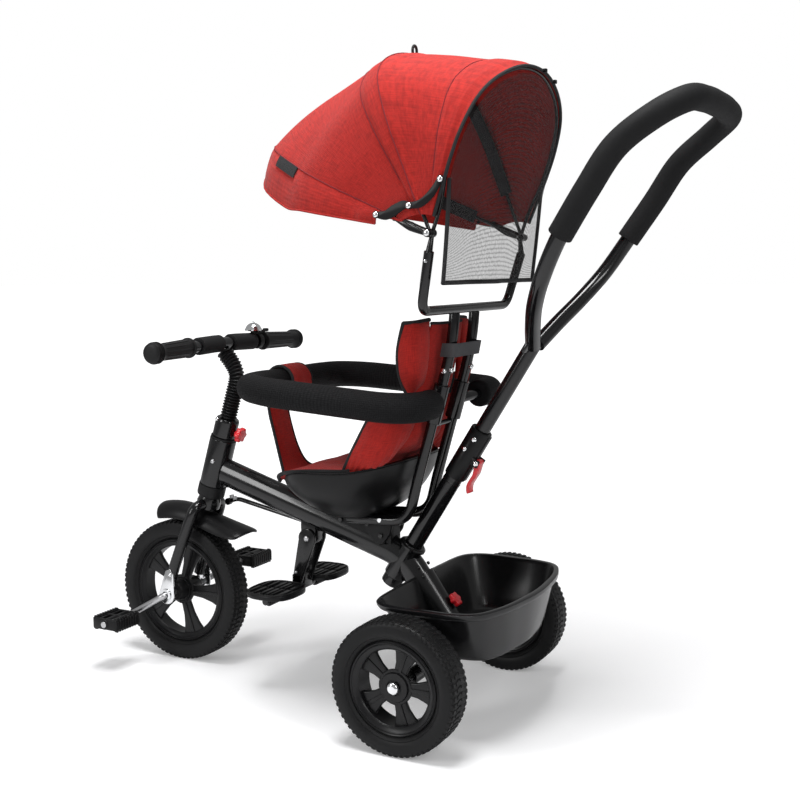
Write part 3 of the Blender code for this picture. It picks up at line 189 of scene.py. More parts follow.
def surface(rows, closed=False, capped=False):
    """A surface through rows of points, with UVs in metres. Closed joins each row's two ends, capped fills
    both end rows."""
    columns, lines = len(rows[0]) - 1, len(rows) - 1
    middle = rows[len(rows) // 2]
    width = path_length([Vector(p) for p in middle])
    length = path_length([Vector(row[0]) for row in rows])
    bm = bmesh.new()
    uv = bm.loops.layers.uv.new("UVMap")
    bmesh.ops.create_grid(bm, x_segments=columns, y_segments=lines, size=1, calc_uvs=True)
    for face in bm.faces:
        for loop in face.loops:
            loop[uv].uv = (loop[uv].uv.x * width, loop[uv].uv.y * length)
    for vertex in bm.verts:
        column = round((vertex.co.x + 1) / 2 * columns)
        line = round((vertex.co.y + 1) / 2 * lines)
        vertex.co = rows[line][column]
    if closed:
        bmesh.ops.remove_doubles(bm, verts=bm.verts, dist=MERGE_DISTANCE)
    if capped:
        bmesh.ops.holes_fill(bm, edges=[e for e in bm.edges if e.is_boundary], sides=len(rows[0]) + 2)
    bmesh.ops.recalc_face_normals(bm, faces=bm.faces)
    return bm


def tube(path, radius, sides=24, section=(1.0, 1.0), soft_end=0.0):
    """A rod along a path; radius is one value, or one for each point. soft_end rounds off its two ends."""
    path = [Vector(p) for p in path]
    radii = radius if isinstance(radius, (list, tuple)) else [radius] * len(path)
    rings = list(zip(frames_along(path), radii))
    if soft_end:
        quarter = [math.pi / 2 * k / 4 for k in range(1, 5)]
        (first, first_radius), (last, last_radius) = rings[0], rings[-1]
        start = [(first @ Matrix.Translation((0, 0, -soft_end * math.sin(a))),
                  first_radius - soft_end * (1 - math.cos(a))) for a in quarter]
        end = [(last @ Matrix.Translation((0, 0, soft_end * math.sin(a))),
                last_radius - soft_end * (1 - math.cos(a))) for a in quarter]
        rings = start[::-1] + rings + end
    rows = []
    for place, reach in rings:
        rows.append([place @ Vector((reach * section[0] * math.cos(a), reach * section[1] * math.sin(a), 0))
                     for a in (math.tau * k / sides for k in range(sides + 1))])
    return surface(rows, closed=True, capped=True)


def turned(profile, matrix=Matrix.Identity(4), segments=48, closed=False):
    """A profile of (radius, height) spun about the matrix's Z axis; closed means it is a ring."""
    bm = bmesh.new()
    points = [bm.verts.new((r, 0, h)) for r, h in profile]
    pairs = list(zip(points, points[1:]))
    if closed:
        pairs.append((points[-1], points[0]))
    edges = [bm.edges.new(pair) for pair in pairs]
    bmesh.ops.spin(bm, geom=points + edges, cent=(0, 0, 0), axis=(0, 0, 1), angle=math.tau,
                   steps=segments, use_merge=True)
    bmesh.ops.remove_doubles(bm, verts=bm.verts, dist=MERGE_DISTANCE)
    bmesh.ops.recalc_face_normals(bm, faces=bm.faces)
    bmesh.ops.transform(bm, matrix=matrix, verts=bm.verts)
    return bm


def rounded_profile(profile, radius, steps=3):
    """The same profile with the corners between its ends rounded off, each within its own two sides."""
    most_share_of_side = 0.4
    points = [Vector((r, h, 0)) for r, h in profile]
    path = [points[0]]
    for before, corner, after in zip(points, points[1:], points[2:]):
        room = min(radius, (before - corner).length * most_share_of_side,
                   (after - corner).length * most_share_of_side)
        path += corner_arc((before - corner).normalized() * room, corner,
                           (after - corner).normalized() * room, steps)
    return [(p.x, p.y) for p in [*path, points[-1]]]


def bevelled(bm, edges, offset, segments=2):
    bmesh.ops.bevel(bm, geom=edges, offset=offset, segments=segments, profile=0.5, affect="EDGES",
                    material=-1)


def block(low, high, matrix=None, bevel=0.0, segments=2):
    """A box from its low to its high corner, with its edges rounded."""
    low, high = Vector(low), Vector(high)
    bm = bmesh.new()
    size = Matrix.Diagonal((*(high - low), 1))
    bmesh.ops.create_cube(bm, size=1, matrix=Matrix.Translation((low + high) / 2) @ size)
    if bevel:
        bevelled(bm, bm.edges[:], bevel, segments)
    if matrix is not None:
        bmesh.ops.transform(bm, matrix=matrix, verts=bm.verts)
    return bm


def slab(outline, low, high, matrix=None, bevel=0.0, segments=2):
    """An outline in X and Y, extruded from the low to the high Z, with its two rims rounded."""
    bm = bmesh.new()
    face = bm.faces.new([bm.verts.new((p[0], p[1], low)) for p in outline])
    made = bmesh.ops.extrude_face_region(bm, geom=[face])
    raised = [v for v in made["geom"] if isinstance(v, bmesh.types.BMVert)]
    bmesh.ops.translate(bm, verts=raised, vec=(0, 0, high - low))
    if bevel:
        rims = [e for e in bm.edges if abs(e.verts[0].co.z - e.verts[1].co.z) < 1e-7]
        bevelled(bm, rims, bevel, segments)
    bmesh.ops.recalc_face_normals(bm, faces=bm.faces)
    if matrix is not None:
        bmesh.ops.transform(bm, matrix=matrix, verts=bm.verts)
    return bm


def side_plate(outline, low, high, bevel=0.0):
    """An outline in Y and Z, extruded along X from low to high."""
    return slab(outline, low, high, ALONG_X, bevel)


def arc_points(centre, radius, start, step, count):
    """Points in a plane on an arc round a centre, at angles in degrees."""
    return [(centre[0] + radius * math.cos(a), centre[1] + radius * math.sin(a))
            for a in (math.radians(start + step * k) for k in range(count))]


def domed_bolt(at, direction, radius=0.004, height=0.0022, sides=20):
    """A low domed head standing on a surface, on a straight rim."""
    sunk, rim_share = -0.001, 0.35
    profile = [(0, sunk), (radius, sunk), (radius, height * rim_share)]
    profile += [(radius * math.cos(a), height * (rim_share + 0.65 * math.sin(a)))
                for a in (math.radians(22.5 * k) for k in range(1, 4))] + [(0, height)]
    return turned(profile, facing(at, direction), sides)


def hex_nut(at, direction, radius=0.0045, height=0.004):
    outline = [(radius * math.cos(a), radius * math.sin(a)) for a in (math.tau * k / 6 for k in range(6))]
    return slab(outline, -0.001, height, facing(at, direction), 0.0005, 1)


def merged(*parts):
    """Several shapes as one mesh; each stays a closed shell."""
    whole = bmesh.new()
    for part in parts:
        mesh = bpy.data.meshes.new("part")
        part.to_mesh(mesh)
        part.free()
        whole.from_mesh(mesh)
        bpy.data.meshes.remove(mesh)
    return whole


def repeated(bm, axis_point, axis, count):
    """Copies of all of a shape round an axis, at even angles."""
    bmesh.ops.spin(bm, geom=bm.verts[:] + bm.edges[:] + bm.faces[:], cent=axis_point, axis=axis,
                   angle=math.tau * (count - 1) / count, steps=count - 1, use_duplicate=True)
    return bm


def as_object(name, bm):
    mesh = bpy.data.meshes.new(name)
    bm.to_mesh(mesh)
    bm.free()
    obj = bpy.data.objects.new(name, mesh)
    bpy.context.scene.collection.objects.link(obj)
    return obj


def shape_of(obj):
    """The object's shape with its modifiers applied; the object itself is removed."""
    graph = bpy.context.evaluated_depsgraph_get()
    bm = bmesh.new()
    bm.from_mesh(bpy.data.meshes.new_from_object(obj.evaluated_get(graph)))
    bpy.data.objects.remove(obj)
    return bm


def carved(bm, cutter):
    """The shape less the cutter's volume."""
    obj, tool = as_object("carved", bm), as_object("cutter", cutter)
    modifier = obj.modifiers.new("cut", "BOOLEAN")
    modifier.operation = "DIFFERENCE"
    modifier.object = tool
    result = shape_of(obj)
    bpy.data.objects.remove(tool)
    return result


def walled(bm, thickness, offset=-1.0):
    """A sheet given a thickness, inwards for an offset of -1."""
    obj = as_object("sheet", bm)
    solidify = obj.modifiers.new("wall", "SOLIDIFY")
    solidify.thickness = thickness
    solidify.offset = offset
    solidify.use_even_offset = True
    return shape_of(obj)


def add_piece(name, bm, finish, body, replaces=(), sharp=38, subdivide=0, slot=None):
    """Moves a finished shape to its place, gives it its finish, and lets it ride with a body. A body of None
    leaves it unattached. The slot argument is not used."""
    bmesh.ops.translate(bm, verts=bm.verts, vec=SHIFT)
    obj = as_object(name, bm)
    obj.data.materials.append(finish)
    obj.data.shade_smooth()
    obj.data.set_sharp_from_angle(angle=math.radians(sharp))
    if subdivide:
        modifier = obj.modifiers.new("smooth", "SUBSURF")
        modifier.levels = subdivide
        modifier.render_levels = subdivide
    if body:
        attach(obj, body)
    if replaces:
        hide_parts(*replaces)
    return obj


def add_part(name, bm, finish, body, **settings):
    """A piece that takes the place of the solid of the same name."""
    return add_piece(name, bm, finish, body, [name], **settings)


# Materials

def node_group(name, inputs, outputs):
    group = bpy.data.node_groups.new(name, "ShaderNodeTree")
    for label, kind, value in inputs:
        socket = group.interface.new_socket(name=label, in_out="INPUT", socket_type=kind)
        if value is not None:
            socket.default_value = value
    for label, kind in outputs:
        group.interface.new_socket(name=label, in_out="OUTPUT", socket_type=kind)
    return group, group.nodes.new("NodeGroupInput"), group.nodes.new("NodeGroupOutput")


def add_node(tree, kind, values=(), links=(), **settings):
    """A node with its settings, its plain socket values, and its (input, source socket) links."""
    node = tree.nodes.new(kind)
    for key, value in settings.items():
        setattr(node, key, value)
    for key, value in values:
        node.inputs[key].default_value = value
    for key, source in links:
        tree.links.new(source, node.inputs[key])
    return node


def ramp(tree, source, stops):
    """A grey for each value of a socket, from stops of (value, grey)."""
    node = add_node(tree, "ShaderNodeValToRGB", links=[(0, source)])
    elements = node.color_ramp.elements
    elements[0].position, elements[0].color = stops[0][0], (*[stops[0][1]] * 3, 1)
    elements[1].position, elements[1].color = stops[-1][0], (*[stops[-1][1]] * 3, 1)
    for position, value in stops[1:-1]:
        elements.new(position).color = (*[value] * 3, 1)
    return node.outputs["Color"]


def math_node(tree, operation, a, b, clamp=False):
    node = tree.nodes.new("ShaderNodeMath")
    node.operation = operation
    node.use_clamp = clamp
    for index, value in ((0, a), (1, b)):
        if isinstance(value, (int, float)):
            node.inputs[index].default_value = value
        else:
            tree.links.new(value, node.inputs[index])
    return node.outputs[0]


def mixed(tree, share, a, b):
    """A colour between a and b; each is a colour or a socket."""
    node = tree.nodes.new("ShaderNodeMix")
    node.data_type = "RGBA"
    for index, value in ((0, share), (6, a), (7, b)):
        if isinstance(value, bpy.types.NodeSocket):
            tree.links.new(value, node.inputs[index])
        else:
            node.inputs[index].default_value = value if index == 0 else (*value, 1)
    return node.outputs[2]


def make_grain_group():
    """Moulded grain: cloudy patches and fine pits, as a mask for colour and roughness, and a height."""
    group, given, result = node_group("Moulded Grain", [
        ("Vector", "NodeSocketVector", None), ("Patch Scale", "NodeSocketFloat", 18.0),
        ("Grain Scale", "NodeSocketFloat", 900.0)],
        [("Patches", "NodeSocketFloat"), ("Height", "NodeSocketFloat")])
    patches = add_node(group, "ShaderNodeTexNoise", [("Detail", 4.0), ("Roughness", 0.6)],
                       [("Vector", given.outputs["Vector"]), ("Scale", given.outputs["Patch Scale"])])
    pits = add_node(group, "ShaderNodeTexNoise", [("Detail", 2.0)],
                    [("Vector", given.outputs["Vector"]), ("Scale", given.outputs["Grain Scale"])])
    group.links.new(ramp(group, patches.outputs["Fac"], [(0.3, 0), (0.7, 1)]), result.inputs["Patches"])
    group.links.new(pits.outputs["Fac"], result.inputs["Height"])
    return group


def make_weave_group():
    """A plain weave with flecked yarns: a fleck mask, a broad shade mask, and the height of its threads."""
    group, given, result = node_group("Flecked Weave", [
        ("Vector", "NodeSocketVector", None), ("Threads per Metre", "NodeSocketFloat", 900.0)],
        [("Flecks", "NodeSocketFloat"), ("Shade", "NodeSocketFloat"), ("Height", "NodeSocketFloat")])
    place, threads = given.outputs["Vector"], given.outputs["Threads per Metre"]
    waves_per_thread, flecks_per_thread, fleck_stretch = 0.32, 0.9, 0.09
    waves, flecks = [], []
    for direction, stretch in (("X", (fleck_stretch, 1.0, 1.0)), ("Y", (1.0, fleck_stretch, 1.0))):
        waves_scale = math_node(group, "MULTIPLY", threads, waves_per_thread)
        wave = add_node(group, "ShaderNodeTexWave", [("Distortion", 1.2), ("Detail", 2.0)],
                        [("Vector", place), ("Scale", waves_scale)], bands_direction=direction)
        waves.append(wave.outputs["Fac"])
        stretched = add_node(group, "ShaderNodeMapping", [("Scale", stretch)], [("Vector", place)])
        fleck = add_node(group, "ShaderNodeTexNoise", [("Detail", 3.0), ("Roughness", 0.65)],
                         [("Vector", stretched.outputs["Vector"]),
                          ("Scale", math_node(group, "MULTIPLY", threads, flecks_per_thread))])
        flecks.append(ramp(group, fleck.outputs["Fac"], [(0.40, 0), (0.62, 1)]))
    for both, output in ((flecks, "Flecks"), (waves, "Height")):
        mean = math_node(group, "MULTIPLY", math_node(group, "ADD", *both), 0.5)
        group.links.new(mean, result.inputs[output])
    broad = add_node(group, "ShaderNodeTexNoise", [("Scale", 14.0), ("Detail", 3.0)], [("Vector", place)])
    group.links.new(ramp(group, broad.outputs["Fac"], [(0.3, 0), (0.72, 1)]), result.inputs["Shade"])
    return group


def make_knit_group():
    """Rows of small knitted cells: a mask that is dark between the stitches, and their height."""
    group, given, result = node_group("Knitted Cells", [
        ("Vector", "NodeSocketVector", None), ("Cells per Metre", "NodeSocketFloat", 330.0)],
        [("Cells", "NodeSocketFloat"), ("Height", "NodeSocketFloat")])
    cells = add_node(group, "ShaderNodeTexVoronoi", [("Randomness", 0.22)],
                     [("Vector", given.outputs["Vector"]), ("Scale", given.outputs["Cells per Metre"])])
    raised = ramp(group, cells.outputs["Distance"], [(0.08, 1), (0.62, 0)])
    group.links.new(raised, result.inputs["Cells"])
    group.links.new(raised, result.inputs["Height"])
    return group


GRAIN = make_grain_group()
WEAVE = make_weave_group()
KNIT = make_knit_group()


def new_finish(name, group, coordinate, group_values=()):
    """A material with one effect group fed by a coordinate, and its tree, its shader and the group node."""
    material = bpy.data.materials.new(name)
    material.use_nodes = True
    tree = material.node_tree
    shader = tree.nodes["Principled BSDF"]
    place = tree.nodes.new("ShaderNodeTexCoord").outputs[coordinate]
    effect = tree.nodes.new("ShaderNodeGroup")
    effect.node_tree = group
    tree.links.new(place, effect.inputs["Vector"])
    for key, value in group_values:
        effect.inputs[key].default_value = value
    return material, tree, shader, effect


def bump(tree, shader, height, strength, distance):
    node = add_node(tree, "ShaderNodeBump", [("Strength", strength), ("Distance", distance)],
                    [("Height", height)])
    tree.links.new(node.outputs["Normal"], shader.inputs["Normal"])


def moulded_finish(name, colour, roughness, spread=0.06, coat=0.0, grain=0.12, grain_scale=900.0,
                   metallic=0.0, specular=0.5, lift=1.35):
    """Paint, plastic, rubber or metal: patches lift its colour and spread its roughness over a fine grain."""
    material, tree, shader, effect = new_finish(name, GRAIN, "Object", [("Grain Scale", grain_scale)])
    patches = effect.outputs["Patches"]
    brighter = tuple(min(1.0, c * lift) for c in colour)
    tree.links.new(mixed(tree, patches, colour, brighter), shader.inputs["Base Color"])
    rough = math_node(tree, "MULTIPLY_ADD", patches, spread)
    rough.node.inputs[2].default_value = roughness
    tree.links.new(rough, shader.inputs["Roughness"])
    shader.inputs["Metallic"].default_value = metallic
    shader.inputs["Specular IOR Level"].default_value = specular
    if coat:
        shader.inputs["Coat Weight"].default_value = coat
        shader.inputs["Coat Roughness"].default_value = 0.06
    if grain:
        bump(tree, shader, effect.outputs["Height"], grain, 0.0002)
    return material


def cloth_finish(name, light, dark, threads=900.0, depth=0.5):
    """Two-tone woven cloth: flecked yarns, a broad unevenness of shade, and a soft sheen."""
    material, tree, shader, effect = new_finish(name, WEAVE, "UV", [("Threads per Metre", threads)])
    shade_depth, shaded = 0.22, (0.62, 0.60, 0.60)
    flecked = mixed(tree, effect.outputs["Flecks"], light, dark)
    shade = mixed(tree, math_node(tree, "MULTIPLY", effect.outputs["Shade"], shade_depth), (1, 1, 1), shaded)
    product = tree.nodes.new("ShaderNodeMix")
    product.data_type = "RGBA"
    product.blend_type = "MULTIPLY"
    product.inputs[0].default_value = 1.0
    tree.links.new(flecked, product.inputs[6])
    tree.links.new(shade, product.inputs[7])
    tree.links.new(product.outputs[2], shader.inputs["Base Color"])
    shader.inputs["Roughness"].default_value = 0.86
    shader.inputs["Specular IOR Level"].default_value = 0.25
    shader.inputs["Sheen Weight"].default_value = 0.08
    shader.inputs["Sheen Roughness"].default_value = 0.5
    bump(tree, shader, effect.outputs["Height"], depth, 0.0006)
    return material


def knit_finish():
    """A black knitted cover, with painted shade between its stitches."""
    material, tree, shader, effect = new_finish("knitted_black_cover", KNIT, "UV")
    # Painted shade: hollow is the darker colour laid between the stitches, stitch the colour on their tops
    hollow, stitch = (0.0035, 0.0035, 0.004), (0.013, 0.013, 0.014)
    tree.links.new(mixed(tree, effect.outputs["Cells"], hollow, stitch), shader.inputs["Base Color"])
    shader.inputs["Roughness"].default_value = 0.70
    shader.inputs["Specular IOR Level"].default_value = 0.12
    bump(tree, shader, effect.outputs["Height"], 0.75, 0.0010)
    return material


def mesh_finish():
    """Open black mesh: small round cells that let most of the light through, in a denser net."""
    net_alpha, hole_alpha, hole_edge = 0.44, 0.22, 0.36
    material, tree, shader, effect = new_finish("open_black_mesh", KNIT, "UV", [("Cells per Metre", 320.0)])
    shader.inputs["Base Color"].default_value = (0.012, 0.012, 0.013, 1)
    shader.inputs["Roughness"].default_value = 0.6
    holes = math_node(tree, "GREATER_THAN", effect.outputs["Cells"], hole_edge)
    thinned = math_node(tree, "MULTIPLY", holes, net_alpha - hole_alpha)
    solid = math_node(tree, "SUBTRACT", net_alpha, thinned)
    tree.links.new(solid, shader.inputs["Alpha"])
    return material


def webbing_finish(name, colour, ribs):
    """Ribbed webbing, tape or thread, with a painted highlight on the tops of its ribs."""
    material, tree, shader, effect = new_finish(name, WEAVE, "UV", [("Threads per Metre", ribs)])
    # Painted highlight: the rib tops are mixed towards this lighter copy of the colour
    brighter = tuple(c * 1.9 for c in colour)
    tree.links.new(mixed(tree, effect.outputs["Height"], colour, brighter), shader.inputs["Base Color"])
    shader.inputs["Roughness"].default_value = 0.85
    bump(tree, shader, effect.outputs["Height"], 0.7, 0.0006)
    return material


BLACK_PAINT = moulded_finish("gloss_black_paint", PAINT_BLACK, 0.15, 0.06, coat=0.25, grain=0.05,
                             grain_scale=350, specular=0.35)
SATIN_BLACK = moulded_finish("satin_black_plastic", PLASTIC_BLACK, 0.30, 0.10, grain=0.18, specular=0.22)
MATTE_BLACK = moulded_finish("matte_black_plastic", PLASTIC_BLACK, 0.46, 0.10, grain=0.3, grain_scale=1200,
                             specular=0.25)
RIM_BLACK = moulded_finish("rim_black_plastic", (0.0055, 0.0055, 0.006), 0.28, 0.10, grain=0.15,
                           specular=0.28)
GLOSS_BLACK = moulded_finish("gloss_black_plastic", (0.005, 0.005, 0.0055), 0.20, 0.07, grain=0.04,
                             specular=0.4)
BLACK_RUBBER = moulded_finish("black_rubber", RUBBER_BLACK, 0.40, 0.10, grain=0.25, specular=0.25)
TYRE_RUBBER = moulded_finish("tyre_rubber", (0.0055, 0.0055, 0.0058), 0.42, 0.12, grain=0.35,
                             grain_scale=1500, specular=0.20, lift=1.7)
BLACK_FOAM = moulded_finish("closed_cell_foam", FOAM_BLACK, 0.66, 0.10, grain=0.6, grain_scale=2200,
                            specular=0.16)
RED_PLASTIC = moulded_finish("red_plastic", SIGNAL_RED, 0.30, 0.06, coat=0.3, grain=0.05, lift=1.12)
CHROME = moulded_finish("chrome", (0.78, 0.79, 0.80), 0.10, 0.06, grain=0.0, metallic=1.0, lift=1.05)
STEEL = moulded_finish("plated_steel", (0.50, 0.50, 0.51), 0.28, 0.10, grain=0.08, metallic=1.0, lift=1.15)
RED_CLOTH = cloth_finish("red_melange_cloth", CLOTH_RED, CLOTH_DARK_RED)
# Dark red thread for the seams, also used for the painted shadow lines along the hoop pockets
SEAM_AND_SHADOW_LINE = webbing_finish("dark_seam_and_shadow_line", (0.150, 0.008, 0.012), 1500.0)
PIPING = webbing_finish("black_piping", (0.010, 0.010, 0.011), 1500.0)
GREY_WEBBING = webbing_finish("grey_elastic", (0.045, 0.045, 0.048), 900.0)
KNIT_COVER = knit_finish()
BLACK_MESH = mesh_finish()


# Wheels

def tread(radius, width, pitches):
    """The tyre's raised blocks: chevrons round the middle and notched lugs over both shoulders."""
    half, pitch = width / 2, math.tau * radius / pitches
    bar_inner, bevel = 0.0015 / half, 0.0005
    bar = [(bar_inner, -0.16), (0.46, 0.14), (0.46, 0.62), (bar_inner, 0.30)]
    lug = [(0.54, 0.06), (0.82, 0.12), (0.82, 0.66), (0.54, 0.72)]
    tooth = [(0.78, 0.10), (0.95, 0.16), (0.95, 0.60), (0.78, 0.68)]
    parts = []
    for side in (-1, 1):
        for shares, low, high in ((bar, -0.0035, 0.0), (lug, -0.0039, -0.0004), (tooth, -0.0090, -0.0026)):
            outline = [(side * x * half, y * pitch) for x, y in shares[::side]]
            parts.append(slab(outline, radius + low, radius + high, None, bevel, 1))
    return repeated(merged(*parts), (0, 0, 0), (1, 0, 0), pitches)


def make_tyre(name, centre, radius, width, seat, pitches, body):
    """A tyre from its seat on the rim out to the tops of its tread, with two bead ridges on each side."""
    half = width / 2
    carcass = radius - 0.0011
    profile = [(seat, -half + 0.007), (seat + 0.003, -half + 0.0035), (seat + 0.005, -half + 0.0020),
               (seat + 0.0062, -half + 0.0026), (seat + 0.0074, -half + 0.0014), (seat + 0.013, -half),
               (carcass - 0.0130, -half + 0.0002), (carcass - 0.0075, -half + 0.0006),
               (carcass - 0.0034, -half + 0.0018), (carcass - 0.0010, -half + 0.0044),
               (carcass, -half + 0.0090)]
    profile += [(r, -h) for r, h in profile[::-1]]
    body_ring = turned(profile, across(centre), 96, closed=True)
    blocks = tread(radius, width, pitches)
    bmesh.ops.translate(blocks, verts=blocks.verts, vec=centre)
    add_part(name, merged(body_ring, blocks), TYRE_RUBBER, body, sharp=32)


def spoke_outline(hub, rim):
    """A broad spoke that is waisted near the hub and flares into the rim."""
    half_widths = ((0.0, 0.0110), (0.18, 0.0098), (0.45, 0.0114), (0.72, 0.0162), (0.90, 0.0220),
                   (1.0, 0.0285))
    side = [(hub + share * (rim - hub), half) for share, half in half_widths]
    return side + [(x, -y) for x, y in side[::-1]]


def make_rim(name, centre, rim_radius, width, hub_half, outward, body):
    """Five broad spokes between the hub and a stepped rim, with a raised rib down each."""
    place = across(centre)
    half = width / 2 - 0.004
    ring = [(rim_radius - 0.0135, -half + 0.0060), (rim_radius - 0.010, -half + 0.0015),
            (rim_radius - 0.0055, -half), (rim_radius - 0.0040, -half + 0.0012),
            (rim_radius - 0.0022, -half), (rim_radius, -half + 0.002)]
    ring += [(r, -h) for r, h in ring[::-1]]
    hub = [(0.0065, -hub_half), (0.0150, -hub_half), (0.0175, -hub_half + 0.004), (0.0195, -0.004)]
    hub += [(r, -h) for r, h in hub[::-1]]
    parts = [turned(ring, place, 80, closed=True), turned(hub, place, 40, closed=True)]
    face_height, disc_bore = 0.010, 0.012
    turn = Matrix.Identity(4) if outward > 0 else Matrix.Rotation(math.pi, 4, "X")
    disc_place = place @ turn @ Matrix.Translation((0, 0, face_height - 0.002))
    for radius, height in ((0.0270, 0.0035), (0.0225, 0.0065)):
        disc = [(disc_bore, 0.0), (radius, 0.0), (radius, height * 0.7), (radius - 0.0012, height),
                (disc_bore, height)]
        parts.append(turned(disc, disc_place, 40, closed=True))
    face = outward * face_height
    spokes, first_spoke, spoke_depth = 5, 0.3, 0.0075
    outline = spoke_outline(0.014, rim_radius - 0.008)
    rib = [(0.020, -0.0022), (rim_radius - 0.012, -0.0034), (rim_radius - 0.012, 0.0034), (0.020, 0.0022)]
    low, high = sorted((face, face + outward * 0.0016))
    for k in range(spokes):
        turn = Matrix.Rotation(math.tau * k / spokes + first_spoke, 4, "Z")
        parts.append(slab(outline, face - spoke_depth, face, place @ turn, 0.0022, 3))
        parts.append(slab(rib, low - 0.001, high, place @ turn, 0.0007, 2))
    add_part(name, merged(*parts), RIM_BLACK, body, sharp=34)


def make_wheels():
    make_tyre("front_tyre", FRONT_AXLE, FRONT_WHEEL_RADIUS, FRONT_WHEEL_WIDTH, 0.0945, 80, "front_wheel")
    make_rim("front_rim", FRONT_AXLE, 0.094, FRONT_WHEEL_WIDTH, 0.030, 1, "front_wheel")
    for side, name in SIDES:
        centre = Vector((side * REAR_TRACK / 2, 0, REAR_WHEEL_RADIUS))
        body = f"rear_wheel_{name}"
        make_tyre(f"rear_tyre_{name}", centre, REAR_WHEEL_RADIUS, REAR_WHEEL_WIDTH, 0.0715, 66, body)
        make_rim(f"rear_rim_{name}", centre, 0.071, REAR_WHEEL_WIDTH, 0.011, side, body)
    half, rod_radius = 0.2215, 0.006
    parts = [tube([(-half, 0, REAR_WHEEL_RADIUS), (half, 0, REAR_WHEEL_RADIUS)], rod_radius)]
    cap = [(0, half - 0.006), (0.0095, half - 0.006), (0.0095, half + 0.002), (0.0100, half + 0.0035),
           (0.0088, half + 0.0062), (0.0058, half + 0.0082), (0, half + 0.0088)]
    for turn in (0, math.pi):
        place = across(Vector((0, 0, REAR_WHEEL_RADIUS))) @ Matrix.Rotation(turn, 4, "X")
        parts.append(turned(rounded_profile(cap, 0.001), place, 32))
    add_part("rear_axle", merged(*parts), CHROME, "frame")


# Frame, fork and fender

def frame_centre(steps=12):
    """The main tube's centre line, from the head tube down and round to the rear axle."""
    slope, drop = math.radians(17.3), math.radians(MAIN_TUBE_DROP)
    corner = Vector((0, -0.0993, 0.2395))
    bend, front_run = 0.0308, 0.37
    down_slope = Vector((0, math.cos(slope), -math.sin(slope)))
    before = corner - bend * down_slope
    after = corner + bend * Vector((0, math.cos(drop), -math.sin(drop)))
    arc = [(1 - t) ** 2 * before + 2 * t * (1 - t) * corner + t * t * after
           for t in (k / steps for k in range(steps + 1))]
    return [corner - front_run * down_slope, *arc, Vector((0, 0, REAR_WHEEL_RADIUS + 0.004))]


def frame_tube(growth=0.0, sides=48):
    """The oval main tube, grown where it serves as a cutter."""
    return tube(frame_centre(), 1.0, sides, (0.019 + growth, 0.024 + growth))


def make_frame():
    head, handle = rest_matrix(HEAD_POINT, HEAD_TILT), rest_matrix(HANDLE_POINT, HANDLE_TILT)
    head_tube = [(0.0192, -0.078), (0.0235, -0.078), (0.0235, 0.009), (0.0192, 0.009)]
    boss = [(0.0122, -0.058), (0.0195, -0.058), (0.0195, 0.008), (0.0122, 0.008)]
    weld = [(0.0190, -0.0035), (0.0226, -0.0015), (0.0226, 0.0015), (0.0190, 0.0035)]
    lug_half, sleeve_half = 0.0145, 0.172
    lug = arc_points(FOOTREST_PIVOT.yz, lug_half, 180, 12, 16)
    lug += [(FOOTREST_PIVOT.y + lug_half, 0.285), (FOOTREST_PIVOT.y - lug_half, 0.290)]
    sleeve = tube([(-sleeve_half, 0, REAR_WHEEL_RADIUS), (sleeve_half, 0, REAR_WHEEL_RADIUS)], 0.0125, 32,
                  soft_end=0.001)
    parts = [frame_tube(), turned(rounded_profile(head_tube + head_tube[:1], 0.0012), head, 48, closed=True),
             turned(rounded_profile(boss + boss[:1], 0.001), handle, 40, closed=True), sleeve,
             side_plate([(-0.452, 0.336), (-0.40, 0.325), (-0.452, 0.322)], -0.004, 0.004, 0.001),
             side_plate(lug, -0.0135, 0.0135, 0.0015),
             turned(weld, handle @ Matrix.Translation((0, 0, 0.003)), 40, closed=True)]
    add_part("main_frame", merged(*parts), BLACK_PAINT, "frame")

    bore = 0.0136
    lower = [(bore, -0.099), (0.0235, -0.099), (0.0245, -0.0965), (0.0245, -0.0785), (0.0182, -0.0785),
             (0.0182, -0.066), (bore, -0.066)]
    upper = [(bore, 0.0), (0.0182, 0.0), (0.0182, 0.0095), (0.0228, 0.0095), (0.0228, 0.0125), (bore, 0.0125)]
    for name, profile in (("lower_bushing", lower), ("upper_bushing", upper)):
        add_part(name, turned(profile, head, 40, closed=True), MATTE_BLACK, "frame")

    side = head @ Vector((0.0228, 0.004, -0.030))
    bolts = [domed_bolt(side, (1, 0.1, 0), 0.0040, 0.0030)]
    for at in ((0.0, -0.4420, 0.3085), (0.0, -0.4360, 0.3060)):
        bolts.append(hex_nut(Vector(at), (0, 0.25, -1), 0.0040, 0.0050))
    add_piece("head_bolts", merged(*bolts), STEEL, "frame")


